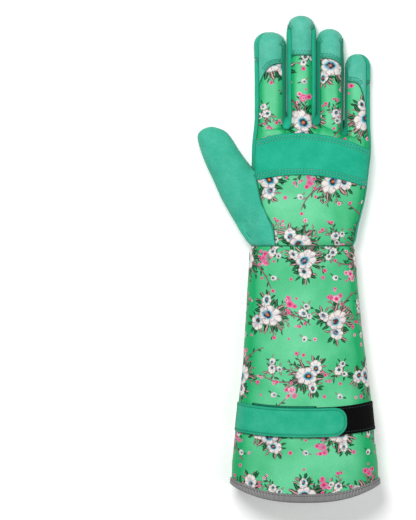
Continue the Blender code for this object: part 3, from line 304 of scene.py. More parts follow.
def smooth_copy(name, node, levels):
    """A copy of a solid as quads, rounded by subdivision, with its thin edges kept crisp."""
    work = bmesh.new()
    work.from_mesh(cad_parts[node].data)
    bmesh.ops.remove_doubles(work, verts=work.verts[:], dist=0.01 * MM)
    bmesh.ops.join_triangles(
        work, faces=work.faces[:], angle_face_threshold=FLAT_ANGLE, angle_shape_threshold=QUAD_ANGLE,
        cmp_seam=False, cmp_sharp=False, cmp_uvs=False, cmp_vcols=False, cmp_materials=False)
    layer = work.edges.layers.float.new("crease_edge")
    for edge in work.edges:
        if edge.is_manifold and edge.calc_face_angle() > RIM_ANGLE:
            edge[layer] = 1.0
    mesh = bpy.data.meshes.new(name)
    work.to_mesh(mesh)
    work.free()
    piece = new_object(name, mesh)
    rounding = piece.modifiers.new("rounding", "SUBSURF")
    rounding.levels = rounding.render_levels = levels
    true_places = [vertex.co.copy() for vertex in mesh.vertices]
    for _ in range(HOLD_PASSES):
        bpy.context.view_layer.update()
        shrunk = piece.evaluated_get(bpy.context.evaluated_depsgraph_get()).data
        gaps = [true - shrunk.vertices[i].co for i, true in enumerate(true_places)]
        for vertex, gap in zip(mesh.vertices, gaps):
            vertex.co += gap * HOLD_FORM
        mesh.update()
    apply_modifiers(piece)
    relax(piece)
    return piece


def relax(piece):
    """Even out the surface away from its crisp edges."""
    work = bmesh.new()
    work.from_mesh(piece.data)
    crisp = set()
    for edge in work.edges:
        if not edge.is_manifold or edge.calc_face_angle() > RIM_ANGLE:
            crisp.update(edge.verts)
    free = [vert for vert in work.verts if vert not in crisp]
    for _ in range(RELAX_STEPS):
        bmesh.ops.smooth_vert(
            work, verts=free, factor=RELAX_SHARE, use_axis_x=True, use_axis_y=True, use_axis_z=True)
    work.to_mesh(piece.data)
    work.free()


def outer_faces(work, weight):
    """The group of faces, joined without a sharp edge, that weighs most: the side that shows."""
    groups, seen = [], set()
    for first in work.faces:
        if first.index in seen:
            continue
        seen.add(first.index)
        group, front = [], [first]
        while front:
            face = front.pop()
            group.append(face)
            for edge in face.edges:
                if len(edge.link_faces) != 2 or edge.calc_face_angle() > RIM_ANGLE:
                    continue
                for other in edge.link_faces:
                    if other.index not in seen:
                        seen.add(other.index)
                        front.append(other)
        groups.append(group)
    return max(groups, key=lambda group: sum(weight(face) for face in group))


def by_area(face):
    return face.calc_area()


def towards_gap(middle):
    """Weight for a strip between two fingers: its faces that look into the gap between them."""
    return lambda face: face.calc_area() * face.normal.x * (middle - face.calc_center_median().x)


class Rim:
    """The outer surface of a piece: its edge points, and what lies a step in from them."""

    def __init__(self, piece, weight=by_area):
        work = bmesh.new()
        work.from_mesh(piece.data)
        faces = outer_faces(work, weight)
        inside = set(face.index for face in faces)
        self.outer = set(v.index for face in faces for v in face.verts)
        points = [v.co.copy() for v in work.verts]
        self.surface = BVHTree.FromPolygons(points, [[v.index for v in f.verts] for f in faces])
        self.points, self.normals, self.inward, self.edges = [], [], [], []
        numbers = {}
        for face in faces:
            for loop in face.loops:
                edge = loop.edge
                if all(other.index in inside for other in edge.link_faces):
                    continue
                a, b = loop.vert, loop.link_loop_next.vert
                along = (b.co - a.co).normalized()
                into = face.normal.cross(along)
                for vert in (a, b):
                    if vert.index not in numbers:
                        numbers[vert.index] = len(self.points)
                        self.points.append(vert.co.copy())
                        self.normals.append(Vector())
                        self.inward.append(Vector())
                    self.normals[numbers[vert.index]] += face.normal
                    self.inward[numbers[vert.index]] += into
                self.edges.append((numbers[a.index], numbers[b.index]))
        work.free()

    def row(self, inset, keep=None):
        """Points and links of a row of stitches, a step in from the parts of the rim kept."""
        points, normals, kept = [], [], {}
        for i, point in enumerate(self.points):
            into = self.inward[i].normalized()
            if keep and not keep(point, into):
                continue
            place, normal, _, _ = self.surface.find_nearest(point + into * inset)
            kept[i] = len(points)
            points.append(place)
            normals.append(normal)
        links = [(kept[a], kept[b]) for a, b in self.edges if a in kept and b in kept]
        return points, normals, links


def hold_above_floor(piece):
    """Press flat on the floor whatever would sink into it."""
    for vertex in piece.data.vertices:
        vertex.co.z = max(0.0, vertex.co.z)


def store(mesh, name, values, domain="POINT"):
    """Store a number or a vector for each point, or for each face corner, of a mesh."""
    values = np.asarray(values, dtype=np.float32)
    kind, key = ("FLOAT", "value") if values.ndim == 1 else ("FLOAT_VECTOR", "vector")
    mesh.attributes.new(name, kind, domain).data.foreach_set(key, values.ravel())


def at_corners(mesh, rule):
    """What a rule gives for the vertex at each face corner."""
    return np.array([rule(mesh.vertices[loop.vertex_index]) for loop in mesh.loops])


def search_tree(points):
    """A tree that finds the nearest of some points."""
    tree = KDTree(max(1, len(points)))
    for number, point in enumerate(points):
        tree.insert(point, number)
    tree.balance()
    return tree


# Farther than this from a seam, a point counts as far
FAR_MM = 20.0

# How deep the surface sinks at a stitch row and rolls off at an edge, and how far each reaches
STITCH_SINK = 0.25 * MM
EDGE_ROLL = 0.30 * MM
SINK_REACH_MM = 1.1
ROLL_REACH_MM = 0.8
PUFF_REACH_MM = 2.0


def measure(piece, rim, rows):
    """Store each point's distance in mm from the piece's edge and from its stitch rows."""
    edge = search_tree(rim.points)
    places, segments = [], []
    for points, _, links in rows:
        places += points
        near = [[] for _ in points]
        for a, b in links:
            near[a].append(points[b])
            near[b].append(points[a])
        segments += near
    tree = search_tree(places)
    edge_mm, row_mm = [], []
    for vertex in piece.data.vertices:
        if vertex.index not in rim.outer:
            edge_mm.append(0.0)
            row_mm.append(FAR_MM)
            continue
        gap = edge.find(vertex.co)[2] if rim.points else FAR_MM * MM
        edge_mm.append(min(FAR_MM, gap / MM))
        if not places:
            row_mm.append(FAR_MM)
            continue
        near, i, best = tree.find(vertex.co)
        for end in segments[i]:
            span = end - near
            t = (vertex.co - near).dot(span) / max(1e-12, span.length_squared)
            best = min(best, (vertex.co - near - span * min(1.0, max(0.0, t))).length)
        row_mm.append(min(FAR_MM, best / MM))
    store(piece.data, "edge_mm", edge_mm)
    store(piece.data, "row_mm", row_mm)
    return np.array(edge_mm), np.array(row_mm)


def press_rows(piece, rim, row_mm, edge_mm, swell):
    """Puff the surface out between its seams and draw it in along its stitches and edges."""
    normals = [vertex.normal.copy() for vertex in piece.data.vertices]
    for vertex in piece.data.vertices:
        if vertex.index not in rim.outer:
            continue
        to_row, to_edge = row_mm[vertex.index], edge_mm[vertex.index]
        dip = STITCH_SINK * math.exp(-(to_row / SINK_REACH_MM) ** 2)
        roll = EDGE_ROLL * math.exp(-(to_edge / ROLL_REACH_MM) ** 2)
        puff = swell * MM * (1.0 - math.exp(-(to_edge / PUFF_REACH_MM) ** 2))
        vertex.co += normals[vertex.index] * (puff - dip - roll)
    hold_above_floor(piece)


# Stitches: a Geometry Nodes tree lays one rounded stitch after another along each row

def stitch_tree():
    tree = bpy.data.node_groups.new("stitch_row", "GeometryNodeTree")
    face = tree.interface
    face.new_socket("Geometry", in_out="INPUT", socket_type="NodeSocketGeometry")
    for name, value in (("Pitch", STITCH_PITCH), ("Length", STITCH_LENGTH), ("Width", STITCH_WIDTH)):
        socket = face.new_socket(name, in_out="INPUT", socket_type="NodeSocketFloat")
        socket.default_value = value
    face.new_socket("Thread", in_out="INPUT", socket_type="NodeSocketMaterial")
    face.new_socket("Geometry", in_out="OUTPUT", socket_type="NodeSocketGeometry")
    start = add(tree, "NodeGroupInput")
    curve = add(tree, "GeometryNodeMeshToCurve", {"Mesh": start.outputs["Geometry"]})
    spaced = add(tree, "GeometryNodeResampleCurve",
            {"Curve": curve.outputs["Curve"], "Length": start.outputs["Pitch"]}, mode="LENGTH")
    ball = add(tree, "GeometryNodeMeshUVSphere", {"Segments": 8, "Rings": 5, "Radius": 0.5})
    size = add(tree, "CombineXYZ", {"X": start.outputs["Length"], "Y": start.outputs["Width"],
            "Z": start.outputs["Width"]})
    stitch = add(tree, "GeometryNodeTransform",
            {"Geometry": ball.outputs["Mesh"], "Scale": size.outputs["Vector"]})
    along = add(tree, "GeometryNodeInputTangent")
    up = add(tree, "GeometryNodeInputNamedAttribute", {"Name": "up"}, data_type="FLOAT_VECTOR")
    first = add(tree, "FunctionNodeAlignRotationToVector", {"Vector": up}, axis="Z")
    turned = add(tree, "FunctionNodeAlignRotationToVector",
            {"Rotation": first.outputs["Rotation"], "Vector": along.outputs["Tangent"]}, axis="X",
            pivot_axis="Z")
    laid = add(tree, "GeometryNodeInstanceOnPoints",
            {"Points": spaced.outputs["Curve"], "Instance": stitch.outputs["Geometry"],
            "Rotation": turned.outputs["Rotation"]})
    real = add(tree, "GeometryNodeRealizeInstances", {"Geometry": laid.outputs["Instances"]})
    dyed = add(tree, "GeometryNodeSetMaterial",
            {"Geometry": real.outputs["Geometry"], "Material": start.outputs["Thread"]})
    add(tree, "NodeGroupOutput", {"Geometry": dyed.outputs["Geometry"]})
    return tree


def sew(name, rows, thread, tree):
    """Make the stitches of several rows as one piece."""
    points, ups, links = [], [], []
    for row_points, row_ups, row_links in rows:
        base = len(points)
        points += [p + n * STITCH_LIFT for p, n in zip(row_points, row_ups)]
        ups += row_ups
        links += [(a + base, b + base) for a, b in row_links]
    mesh = bpy.data.meshes.new(name)
    mesh.from_pydata([tuple(p) for p in points], links, [])
    store(mesh, "up", [tuple(n) for n in ups])
    piece = new_object(name, mesh)
    modifier = piece.modifiers.new("stitches", "NODES")
    modifier.node_group = tree
    for item in tree.interface.items_tree:
        if item.in_out == "INPUT" and item.name == "Thread":
            modifier[item.identifier] = thread
    apply_modifiers(piece)
    hold_above_floor(piece)
    piece.data.shade_smooth()
    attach(piece, "root")
    return piece


# Floral print: each motif's own coordinates are stored on the faces that it covers

class Print:
    """A seeded layout of bouquets, sprays and single flowers on a flat piece of cloth.

    A motif is a row of x, y, size, angle, kind from 0 to 1, and width over length.
    """

    def __init__(self, low, high, seed):
        self.random = np.random.default_rng(seed)
        self.blooms, self.blossoms, self.leaves, self.stems = [], [], [], []
        rows = int((high[1] - low[1]) / REPEAT_HEIGHT) + 2
        columns = int((high[0] - low[0]) / REPEAT_WIDTH) + 2
        for j in range(rows):
            for i in range(columns):
                x = low[0] + (i + 0.5 * (j % 2) - 0.3 + self.vary(0.06)) * REPEAT_WIDTH
                y = low[1] + (j + 0.1 + self.vary(0.06)) * REPEAT_HEIGHT
                self.bouquet(x, y, 0.6 + 2.4 * ((i + 2 * j) % 3) + self.vary(0.3))
                self.spray(x + 0.52 * REPEAT_WIDTH, y + 0.12 * REPEAT_HEIGHT)
                self.scatter(x + 0.5 * REPEAT_WIDTH, y - 0.32 * REPEAT_HEIGHT)

    def vary(self, reach):
        return self.random.uniform(-reach, reach)

    def polar(self, x, y, reach, angle):
        return x + reach * math.cos(angle), y + reach * math.sin(angle)

    def add(self, rows, x, y, size, angle=None, narrow=1.0):
        if angle is None:
            angle = self.vary(math.pi)
        rows.append((x, y, size, angle, self.random.uniform(0.0, 1.0), narrow))

    def leaf(self, x, y, length, angle):
        """A leaf that starts at a point and grows along an angle."""
        middle = self.polar(x, y, length / 2, angle)
        self.add(self.leaves, *middle, length / 2, angle, self.random.uniform(0.24, 0.38))

    def stem(self, x, y, length, angle, bend, width):
        """A stem with narrow leaves along it. It returns its end."""
        side, half = 1, length / STEM_STEPS / 2
        for i in range(STEM_STEPS):
            middle = self.polar(x, y, half, angle)
            x, y = self.polar(x, y, 2 * half, angle)
            thin = width * (1.0 - 0.5 * i / STEM_STEPS)
            self.add(self.stems, *middle, 1.15 * half, angle, thin / half / 1.15)
            angle += bend / STEM_STEPS
            if i % 2 and i < STEM_STEPS - 1:
                side = -side
                self.leaf(x, y, self.random.uniform(3.4, 5.6) * MM, angle + side * 0.7)
        return x, y

    def bouquet(self, x, y, way):
        """Three anemones in dark leaves, twigs, a few pink blossoms and one long bent stem."""
        radius = BLOOM_RADIUS * self.random.uniform(0.90, 1.05)
        spots = ((0.0, 0.0, 1.0, 0.80), (1.12, way - 0.8, 0.64, 0.86), (1.08, way + 1.0, 0.58, 0.66))
        for reach, turn, size, narrow in spots:
            place = self.polar(x, y, radius * reach, turn)
            self.add(self.blooms, *place, radius * size, way + 1.3 * reach, narrow)
            for k in range(16):
                angle = turn + 0.40 * k + self.vary(0.25)
                foot = self.polar(*place, radius * size * 0.62, angle)
                length = self.random.uniform(6.0, 9.0) * size * MM + 2.0 * MM
                self.leaf(*foot, length, angle + self.vary(0.5))
        back = way + math.pi
        for k in range(7):
            turn = back + 0.36 * (k - 3)
            foot = self.polar(x, y, radius * 0.6, turn)
            end = self.stem(*foot, self.random.uniform(9.0, 15.0) * MM, turn, self.vary(0.8), 0.45 * MM)
            if k in (0, 6):
                self.add(self.blossoms, *end, 1.9 * MM)
        foot = self.polar(x, y, radius * 0.7, back - 0.5)
        self.stem(*foot, self.random.uniform(25.0, 31.0) * MM, back - 0.4, 0.9, 0.75 * MM)
        heart = self.polar(x, y, radius * 1.75, way + 2.3)
        for size, reach, turn in BLOSSOM_SPOTS:
            self.add(self.blossoms, *self.polar(*heart, reach * MM, way + turn), size * MM)

    def spray(self, x, y):
        """Three small white flowers on a bit of green, with pink dots below."""
        angle = self.vary(math.pi)
        for size, reach, turn in ((4.4, 0.0, 0.0), (3.3, 6.4, 0.8), (2.9, 6.2, 2.3)):
            place = self.polar(x, y, reach * MM, angle + turn)
            self.add(self.blooms, *place, size * MM, narrow=0.85)
            for k in range(5):
                turned = angle + turn + 1.25 * k
                self.leaf(*self.polar(*place, size * 0.6 * MM, turned), 4.4 * MM, turned)
        for turn in (angle - 1.6, angle - 2.5):
            end = self.stem(x, y, 12.0 * MM, turn, self.vary(0.8), 0.38 * MM)
            self.add(self.blossoms, *end, 1.7 * MM)
            self.add(self.blossoms, *self.polar(*end, 3.2 * MM, turn + 1.2), 1.3 * MM)

    def scatter(self, x, y):
        """A lone flower and a few dots between the sprays."""
        self.add(self.blooms, x, y, 3.0 * MM, narrow=0.85)
        for turn in (0.7, 3.4):
            self.leaf(*self.polar(x, y, 2.4 * MM, turn), 3.6 * MM, turn)
        for k in range(4):
            reach = self.random.uniform(8.0, 15.0) * MM
            self.add(self.blossoms, *self.polar(x, y, reach, 1.6 * k), self.random.uniform(1.2, 2.0) * MM)


def in_motif(places, x, y, size, angle, narrow):
    """Places along and across a motif, as shares of its reach each way."""
    dx, dy = places[:, 0] - x, places[:, 1] - y
    cos, sin = np.cos(angle), np.sin(angle)
    return (dx * cos + dy * sin) / size, (dy * cos - dx * sin) / (size * narrow)


def nearest_motifs(centres, data, count):
    """For each face the motifs that reach it most, by distance over size, in drawing order."""
    score = np.full((count, len(centres)), 1e9)
    which = np.zeros((count, len(centres)), dtype=int)
    for number, (x, y, size, angle, _, narrow) in enumerate(data):
        reach = np.hypot(*in_motif(centres, x, y, size, angle, narrow))
        index = np.full(len(centres), number)
        for k in range(count):
            nearer = reach < score[k]
            score[k], reach = np.where(nearer, reach, score[k]), np.where(nearer, score[k], reach)
            which[k], index = np.where(nearer, index, which[k]), np.where(nearer, which[k], index)
    which.sort(axis=0)
    return which


def lay_print(mesh, corner_places, design):
    """Store on each face's corners where they are in the motifs that cover the face."""
    totals = np.array([polygon.loop_total for polygon in mesh.polygons])
    face_of = np.repeat(np.arange(len(totals)), totals)
    centres = np.zeros((len(totals), 2))
    np.add.at(centres, face_of, corner_places)
    centres /= totals[:, None]
    motifs = {"leaf": design.leaves, "stem": design.stems, "blossom": design.blossoms,
              "bloom": design.blooms}
    for name, count in MOTIF_LAYERS:
        data = np.array(motifs[name])
        which = nearest_motifs(centres, data, count)
        for slot in range(count):
            x, y, size, angle, kind, narrow = data[which[slot]][face_of].T
            along, across = in_motif(corner_places, x, y, size, angle, narrow)
            store(mesh, f"{name}_{slot}", np.stack([along, across, kind], axis=1), "CORNER")


# Materials

def shader(name):
    """A new material with a Principled surface."""
    material = bpy.data.materials.new(name)
    material.use_nodes = True
    tree = material.node_tree
    tree.nodes.clear()
    surface = add(tree, "BsdfPrincipled")
    add(tree, "OutputMaterial", {"Surface": surface})
    return material, tree, surface


def fill_ramp(ramp, stops):
    """Set a ramp's stops from (place, colour) rows."""
    band = ramp.color_ramp
    while len(band.elements) < len(stops):
        band.elements.new(1.0)
    for element, (place, code) in zip(band.elements, stops):
        element.position = place
        element.color = linear(code)


def lay_over(tree, below, code, value, start, end, low=0.0, high=1.0):
    """Lay a colour over another, from a low share to a high one as a value runs from start to end."""
    share = add(tree, "MapRange", {"Value": value, "From Min": start, "From Max": end, "To Min": low,
                                   "To Max": high})
    return add(tree, "Mix", {"Factor": share, "A": below, "B": linear(code)}, data_type="RGBA")


def finish_surface(tree, surface, colour, height, strength, depth_mm, values):
    """Give a surface its colour, a relief of some depth, and its other values by name."""
    tree.links.new(live_output(colour), surface.inputs["Base Color"])
    bump = add(tree, "Bump", {"Height": height, "Strength": strength, "Distance": depth_mm * MM})
    tree.links.new(bump.outputs["Normal"], surface.inputs["Normal"])
    for name, value in values.items():
        surface.inputs[name].default_value = value


def start_motif(name):
    """A node group that will turn a place in a motif into its colour, over the colour below it."""
    tree = bpy.data.node_groups.new(name, "ShaderNodeTree")
    for title, way, kind in (("Place", "INPUT", "Vector"), ("Wander", "INPUT", "Float"),
                             ("Below", "INPUT", "Color"), ("Colour", "OUTPUT", "Color")):
        tree.interface.new_socket(title, in_out=way, socket_type="NodeSocket" + kind)
    start = add(tree, "NodeGroupInput")
    return tree, start, add(tree, "SeparateXYZ", {"Vector": start.outputs["Place"]})


def dress_motif(tree, value, kind, limit, first, second):
    """Colours along a value: the first row of stops, or the second for kinds over a limit."""
    ramps = [add(tree, "ValToRGB", {"Fac": value}) for _ in range(2)]
    for ramp, stops in zip(ramps, (first, second)):
        fill_ramp(ramp, stops)
    over = add(tree, "Math", {0: kind, 1: limit}, operation="GREATER_THAN")
    return add(tree, "Mix", {"Factor": over, "A": ramps[0].outputs["Color"],
                             "B": ramps[1].outputs["Color"]}, data_type="RGBA")


def end_motif(tree, start, reach, dress):
    """Show the motif where its reach is under 1, and what lies below it elsewhere."""
    cover = add(tree, "Math", {0: reach, 1: 1.0}, operation="LESS_THAN")
    top = add(tree, "Mix", {"Factor": cover, "A": start.outputs["Below"], "B": dress}, data_type="RGBA")
    add(tree, "NodeGroupOutput", {"Colour": top})
    return tree


def flower_group(name, petals, notch, lean, first, second, outline):
    """A flower seen a little from one side: rings of colour inside a petalled outline."""
    tree, start, place = start_motif(name)
    wander = start.outputs["Wander"]
    turn = add(tree, "Math", {0: place.outputs["Y"], 1: place.outputs["X"]}, operation="ARCTAN2")
    flat = add(tree, "CombineXYZ", {"X": place.outputs["X"], "Y": place.outputs["Y"]})
    reach = add(tree, "VectorMath", {0: flat}, operation="LENGTH")

    # Petals: the outline draws in at each notch, and wanders as ink does
    swing = add(tree, "Math", {0: wander, 1: 1.6}, operation="MULTIPLY")
    swing = add(tree, "Math", {0: turn, 1: petals / 2, 2: swing}, operation="MULTIPLY_ADD")
    sine = add(tree, "Math", {0: swing}, operation="SINE")
    petal = add(tree, "Math", {0: sine}, operation="ABSOLUTE")
    rounded = add(tree, "Math", {0: petal, 1: 0.5}, operation="POWER")
    edge = add(tree, "Math", {0: rounded, 1: notch, 2: 0.97 - notch}, operation="MULTIPLY_ADD")
    share = add(tree, "Math", {0: reach, 1: edge}, operation="DIVIDE")
    share = add(tree, "Math", {0: wander, 1: 0.22, 2: share}, operation="MULTIPLY_ADD")

    # Rings of colour round a heart that lies off the middle, with dusky patches
    moved = add(tree, "VectorMath", {0: flat, 1: (lean, 0.0, 0.0)}, operation="SUBTRACT")
    heart = add(tree, "VectorMath", {0: moved}, operation="LENGTH")
    heart = add(tree, "Math", {0: wander, 1: 0.30, 2: heart}, operation="MULTIPLY_ADD")
    dress = dress_motif(tree, heart, place.outputs["Z"], 0.72, first, second)
    dress = lay_over(tree, dress, "a99fb4", wander, 0.0, 0.16, 0.0, 0.6)

    # Ink between the petals and round the brim
    fold = add(tree, "MapRange", {"Value": petal, "From Min": 0.02, "From Max": 0.26, "To Min": 0.8,
                                  "To Max": 0.0})
    outer = add(tree, "MapRange", {"Value": share, "From Min": 0.25, "From Max": 0.60})
    line = add(tree, "Math", {0: fold, 1: outer}, operation="MULTIPLY")
    brim = add(tree, "MapRange", {"Value": share, "From Min": 0.86, "From Max": 1.0, "To Max": 0.9})
    ink = add(tree, "Math", {0: line, 1: brim}, operation="MAXIMUM")
    lined = add(tree, "Mix", {"Factor": ink, "A": dress, "B": linear(outline)}, data_type="RGBA")
    return end_motif(tree, start, share, lined)


# Colours across a leaf or from a flower's heart outwards
GREEN_LEAF = ((0.0, "04140e"), (0.12, "3b9a61"), (0.35, "12603c"), (0.62, "08301f"), (1.0, "04140d"))
PINK_LEAF = ((0.0, "7a4a52"), (0.12, "efcfc8"), (0.38, "a07a74"), (0.60, "4a2d30"), (1.0, "220f15"))
WHITE_BLOOM = ((0.0, "e88a2c"), (0.11, "b5561d"), (0.15, "1c1a26"), (0.25, "17304f"), (0.33, "2a9fb4"),
               (0.40, "9cc9cf"), (0.50, "efe9e6"), (1.0, "f4efe8"))
CREAM_BLOOM = ((0.0, "5a2418"), (0.10, "7a3322"), (0.20, "33222b"), (0.28, "2aa6b4"), (0.38, "b9d8da"),
               (0.48, "f3e8e2"), (1.0, "f6f0e8"))
PINK_BLOSSOM = ((0.0, "a0123f"), (0.20, "c91d5c"), (0.42, "ee4d8e"), (0.75, "f27aad"), (1.0, "f7a8c8"))
MAUVE_BLOSSOM = ((0.0, "d3125e"), (0.30, "e83a80"), (0.50, "f6a6c4"), (0.80, "f6d3de"), (1.0, "f0b2c8"))


def leaf_group():
    """A ragged leaf with a dark outline: green, or on some pale pink with a brown outline."""
    tree, start, place = start_motif("leaf_motif")
    along = add(tree, "Math", {0: place.outputs["X"], 1: place.outputs["X"]}, operation="MULTIPLY")
    width = add(tree, "Math", {0: 1.0, 1: along}, operation="SUBTRACT")
    held = add(tree, "Math", {0: width, 1: 0.001}, operation="MAXIMUM")
    bent = add(tree, "Math", {0: start.outputs["Wander"], 1: 1.3, 2: place.outputs["Y"]},
               operation="MULTIPLY_ADD")
    side = add(tree, "Math", {0: bent}, operation="ABSOLUTE")
    share = add(tree, "Math", {0: side, 1: held}, operation="DIVIDE")
    dress = dress_motif(tree, share, place.outputs["Z"], 0.58, GREEN_LEAF, PINK_LEAF)
    return end_motif(tree, start, share, dress)


def stem_group():
    """A length of twig: pale pink along its middle and dark brown at its sides."""
    tree, start, place = start_motif("stem_motif")
    ends, sides = (add(tree, "Math", {0: place.outputs[way]}, operation="ABSOLUTE") for way in "XY")
    farther = add(tree, "Math", {0: ends, 1: sides}, operation="MAXIMUM")
    return end_motif(tree, start, farther, lay_over(tree, linear("cf93a2"), "32121b", sides, 0.1, 0.5))


# From one twill line of the satin to the next, and from rib to rib of the braid, in mm.
# Both are coarser than real, the twill about six times, so that they show.
TWILL_MM = 3.11
RIB_MM = 2.1

# Radians that a diagonal wave texture turns by in a unit across its lines, at a scale of 1
DIAGONAL_TURN = 10.0 * math.sqrt(2.0)


def printed_satin():
    """Woven satin, printed: a soft low shine, a painted sheen that makes it paler where it faces up,
    painted shade along its seams, and fine twill.
    """
    material, tree, surface = shader("printed_satin")
    place = add(tree, "TexCoord").outputs["Object"]
    wander = add(tree, "TexNoise", {"Vector": place, "Scale": 1000.0 / 3.2, "Detail": 2.0})
    centred = add(tree, "Math", {0: wander, 1: 0.5}, operation="SUBTRACT")
    # Painted sheen: the ground green turns paler where the surface faces up, in soft clouds
    facing = add(tree, "SeparateXYZ", {"Vector": add(tree, "NewGeometry").outputs["Normal"]})
    flat = add(tree, "MapRange", {"Value": facing.outputs["Z"], "From Min": 0.72, "From Max": 0.995})
    cloud = add(tree, "TexNoise", {"Vector": place, "Scale": 1000.0 / 30.0, "Detail": 3.0})
    painted_sheen = add(tree, "Math", {0: flat, 1: cloud}, operation="MULTIPLY")
    colour = lay_over(tree, linear("1cb56e"), "70dca4", painted_sheen, 0.05, 0.60)
    grain = add(tree, "TexNoise", {"Vector": place, "Scale": 1000.0 / 0.9, "Detail": 2.0})
    colour = lay_over(tree, colour, "1c8a58", grain, 0.35, 0.65, 0.0, 0.16)
    groups = {
        "leaf": leaf_group(),
        "stem": stem_group(),
        "blossom": flower_group("blossom_motif", 5, 0.34, 0.0, PINK_BLOSSOM, MAUVE_BLOSSOM, "c92a68"),
        "bloom": flower_group("bloom_motif", 7, 0.22, 0.2, WHITE_BLOOM, CREAM_BLOOM, "6a4a52"),
    }
    for name, count in MOTIF_LAYERS:
        for slot in reversed(range(count)):
            spot = add(tree, "Attribute", attribute_name=f"{name}_{slot}")
            layer = add(tree, "Group", node_tree=groups[name])
            tree.links.new(spot.outputs["Vector"], layer.inputs["Place"])
            tree.links.new(centred.outputs[0], layer.inputs["Wander"])
            tree.links.new(live_output(colour), layer.inputs["Below"])
            colour = layer
    # Painted shade: darker green within about a millimetre of the wrist seam and of each printed piece's
    # edge
    edge_and_seam_shade = add(tree, "Attribute", attribute_name="edge_mm")
    colour = lay_over(tree, colour, "0a5a3c", edge_and_seam_shade.outputs["Fac"], 0.2, 1.0, 0.8, 0.0)
    scale = 2.0 * math.pi / (DIAGONAL_TURN * TWILL_MM * MM)
    weave = add(tree, "TexWave", {"Vector": place, "Scale": scale, "Distortion": 1.5},
                bands_direction="DIAGONAL")
    crumple = add(tree, "TexNoise", {"Vector": place, "Scale": 1000.0 / 9.0, "Detail": 5.0})
    relief = add(tree, "Math", {0: weave, 1: 0.12, 2: crumple}, operation="MULTIPLY_ADD")
    values = {"Roughness": 0.42, "Specular IOR Level": 0.12}
    finish_surface(tree, surface, colour, relief, 0.35, 0.5, values)
    return material


def leather(name, main, worn, speck_edge_and_shade_colour, grain_mm, rough, sheen, above=None):
    """Dyed goat leather: matt, with clouds of lighter nap, dark specks in its grain, drawn-in seams, a dark
    cut edge, and painted shade where pieces meet and along its stitch rows.

    Above a height, where one is given, it has another colour.
    """
    material, tree, surface = shader(name)
    place = add(tree, "TexCoord").outputs["Object"]
    cloud = add(tree, "TexNoise", {"Vector": place, "Scale": 1000.0 / 16.0, "Detail": 5.0,
                                   "Roughness": 0.65})
    grain = add(tree, "TexNoise", {"Vector": place, "Scale": 1000.0 / grain_mm, "Detail": 4.0})
    colour = lay_over(tree, linear(main), worn, cloud, 0.38, 0.66)
    colour = lay_over(tree, colour, speck_edge_and_shade_colour, grain, 0.3, 0.7, 0.30, 0.0)
    # Darker towards the piece's edge and its stitch rows: the leather's dark cut edge, and painted shade
    # where pieces meet and in the stitch grooves
    for attribute, near, far, strength in (("edge_mm", 0.1, 0.9, 0.75), ("row_mm", 0.2, 1.1, 0.6)):
        edge_and_seam_shade = add(tree, "Attribute", attribute_name=attribute)
        colour = lay_over(tree, colour, speck_edge_and_shade_colour, edge_and_seam_shade.outputs["Fac"], near, far, strength, 0.0)
    if above:
        height = add(tree, "SeparateXYZ", {"Vector": place})
        over = add(tree, "Math", {0: height.outputs["Z"], 1: above[0] * MM}, operation="GREATER_THAN")
        colour = add(tree, "Mix", {"Factor": over, "A": colour, "B": linear(above[1])}, data_type="RGBA")
    wrinkle = add(tree, "TexVoronoi", {"Vector": place, "Scale": 1000.0 / 5.5, "Randomness": 1.0},
                  feature="SMOOTH_F1")
    relief = add(tree, "Math", {0: wrinkle, 1: 0.25, 2: grain}, operation="MULTIPLY_ADD")
    values = {"Roughness": rough, "Specular IOR Level": 0.2, "Sheen Weight": sheen, "Sheen Roughness": 0.5}
    finish_surface(tree, surface, colour, relief, 0.5, 0.3, values)
    return material


def plain_fibre(name, low, high, scale_mm, rough, depth_mm):
    """Polyester fibres of one dye: dull, with light and dark from how the fibres stand."""
    material, tree, surface = shader(name)
    place = add(tree, "TexCoord").outputs["Object"]
    tuft = add(tree, "TexNoise", {"Vector": place, "Scale": 1000.0 / scale_mm, "Detail": 3.0})
    colour = lay_over(tree, linear(low), high, tuft, 0.35, 0.65)
    values = {"Roughness": rough, "Specular IOR Level": 0.15}
    finish_surface(tree, surface, colour, tuft, 0.8, depth_mm, values)
    return material


def ribbed_braid():
    """Grey woven braid: dull ribs across the band, painted lighter on their tops and with painted shade in
    the grooves between them, along the stored way round.
    """
    material, tree, surface = shader("grey_braid")
    way = add(tree, "Attribute", attribute_name="round_mm")
    swing = add(tree, "Math", {0: way.outputs["Fac"], 1: 2.0 * math.pi / RIB_MM}, operation="MULTIPLY")
    rib_relief_and_shade = add(tree, "Math", {0: swing}, operation="SINE")
    # Painted light and shade: paler on each rib's top, darker in the groove beside it
    colour = lay_over(tree, linear("5b5a5b"), "a9a8a9", rib_relief_and_shade, -1.0, 0.6)
    finish_surface(tree, surface, colour, rib_relief_and_shade, 0.7, 0.25, {"Roughness": 0.7})
    return material


# Height in mm at which a touch tip's black ends in a seam, and the leather above it is green
BLACK_TOP_MM = 6.5
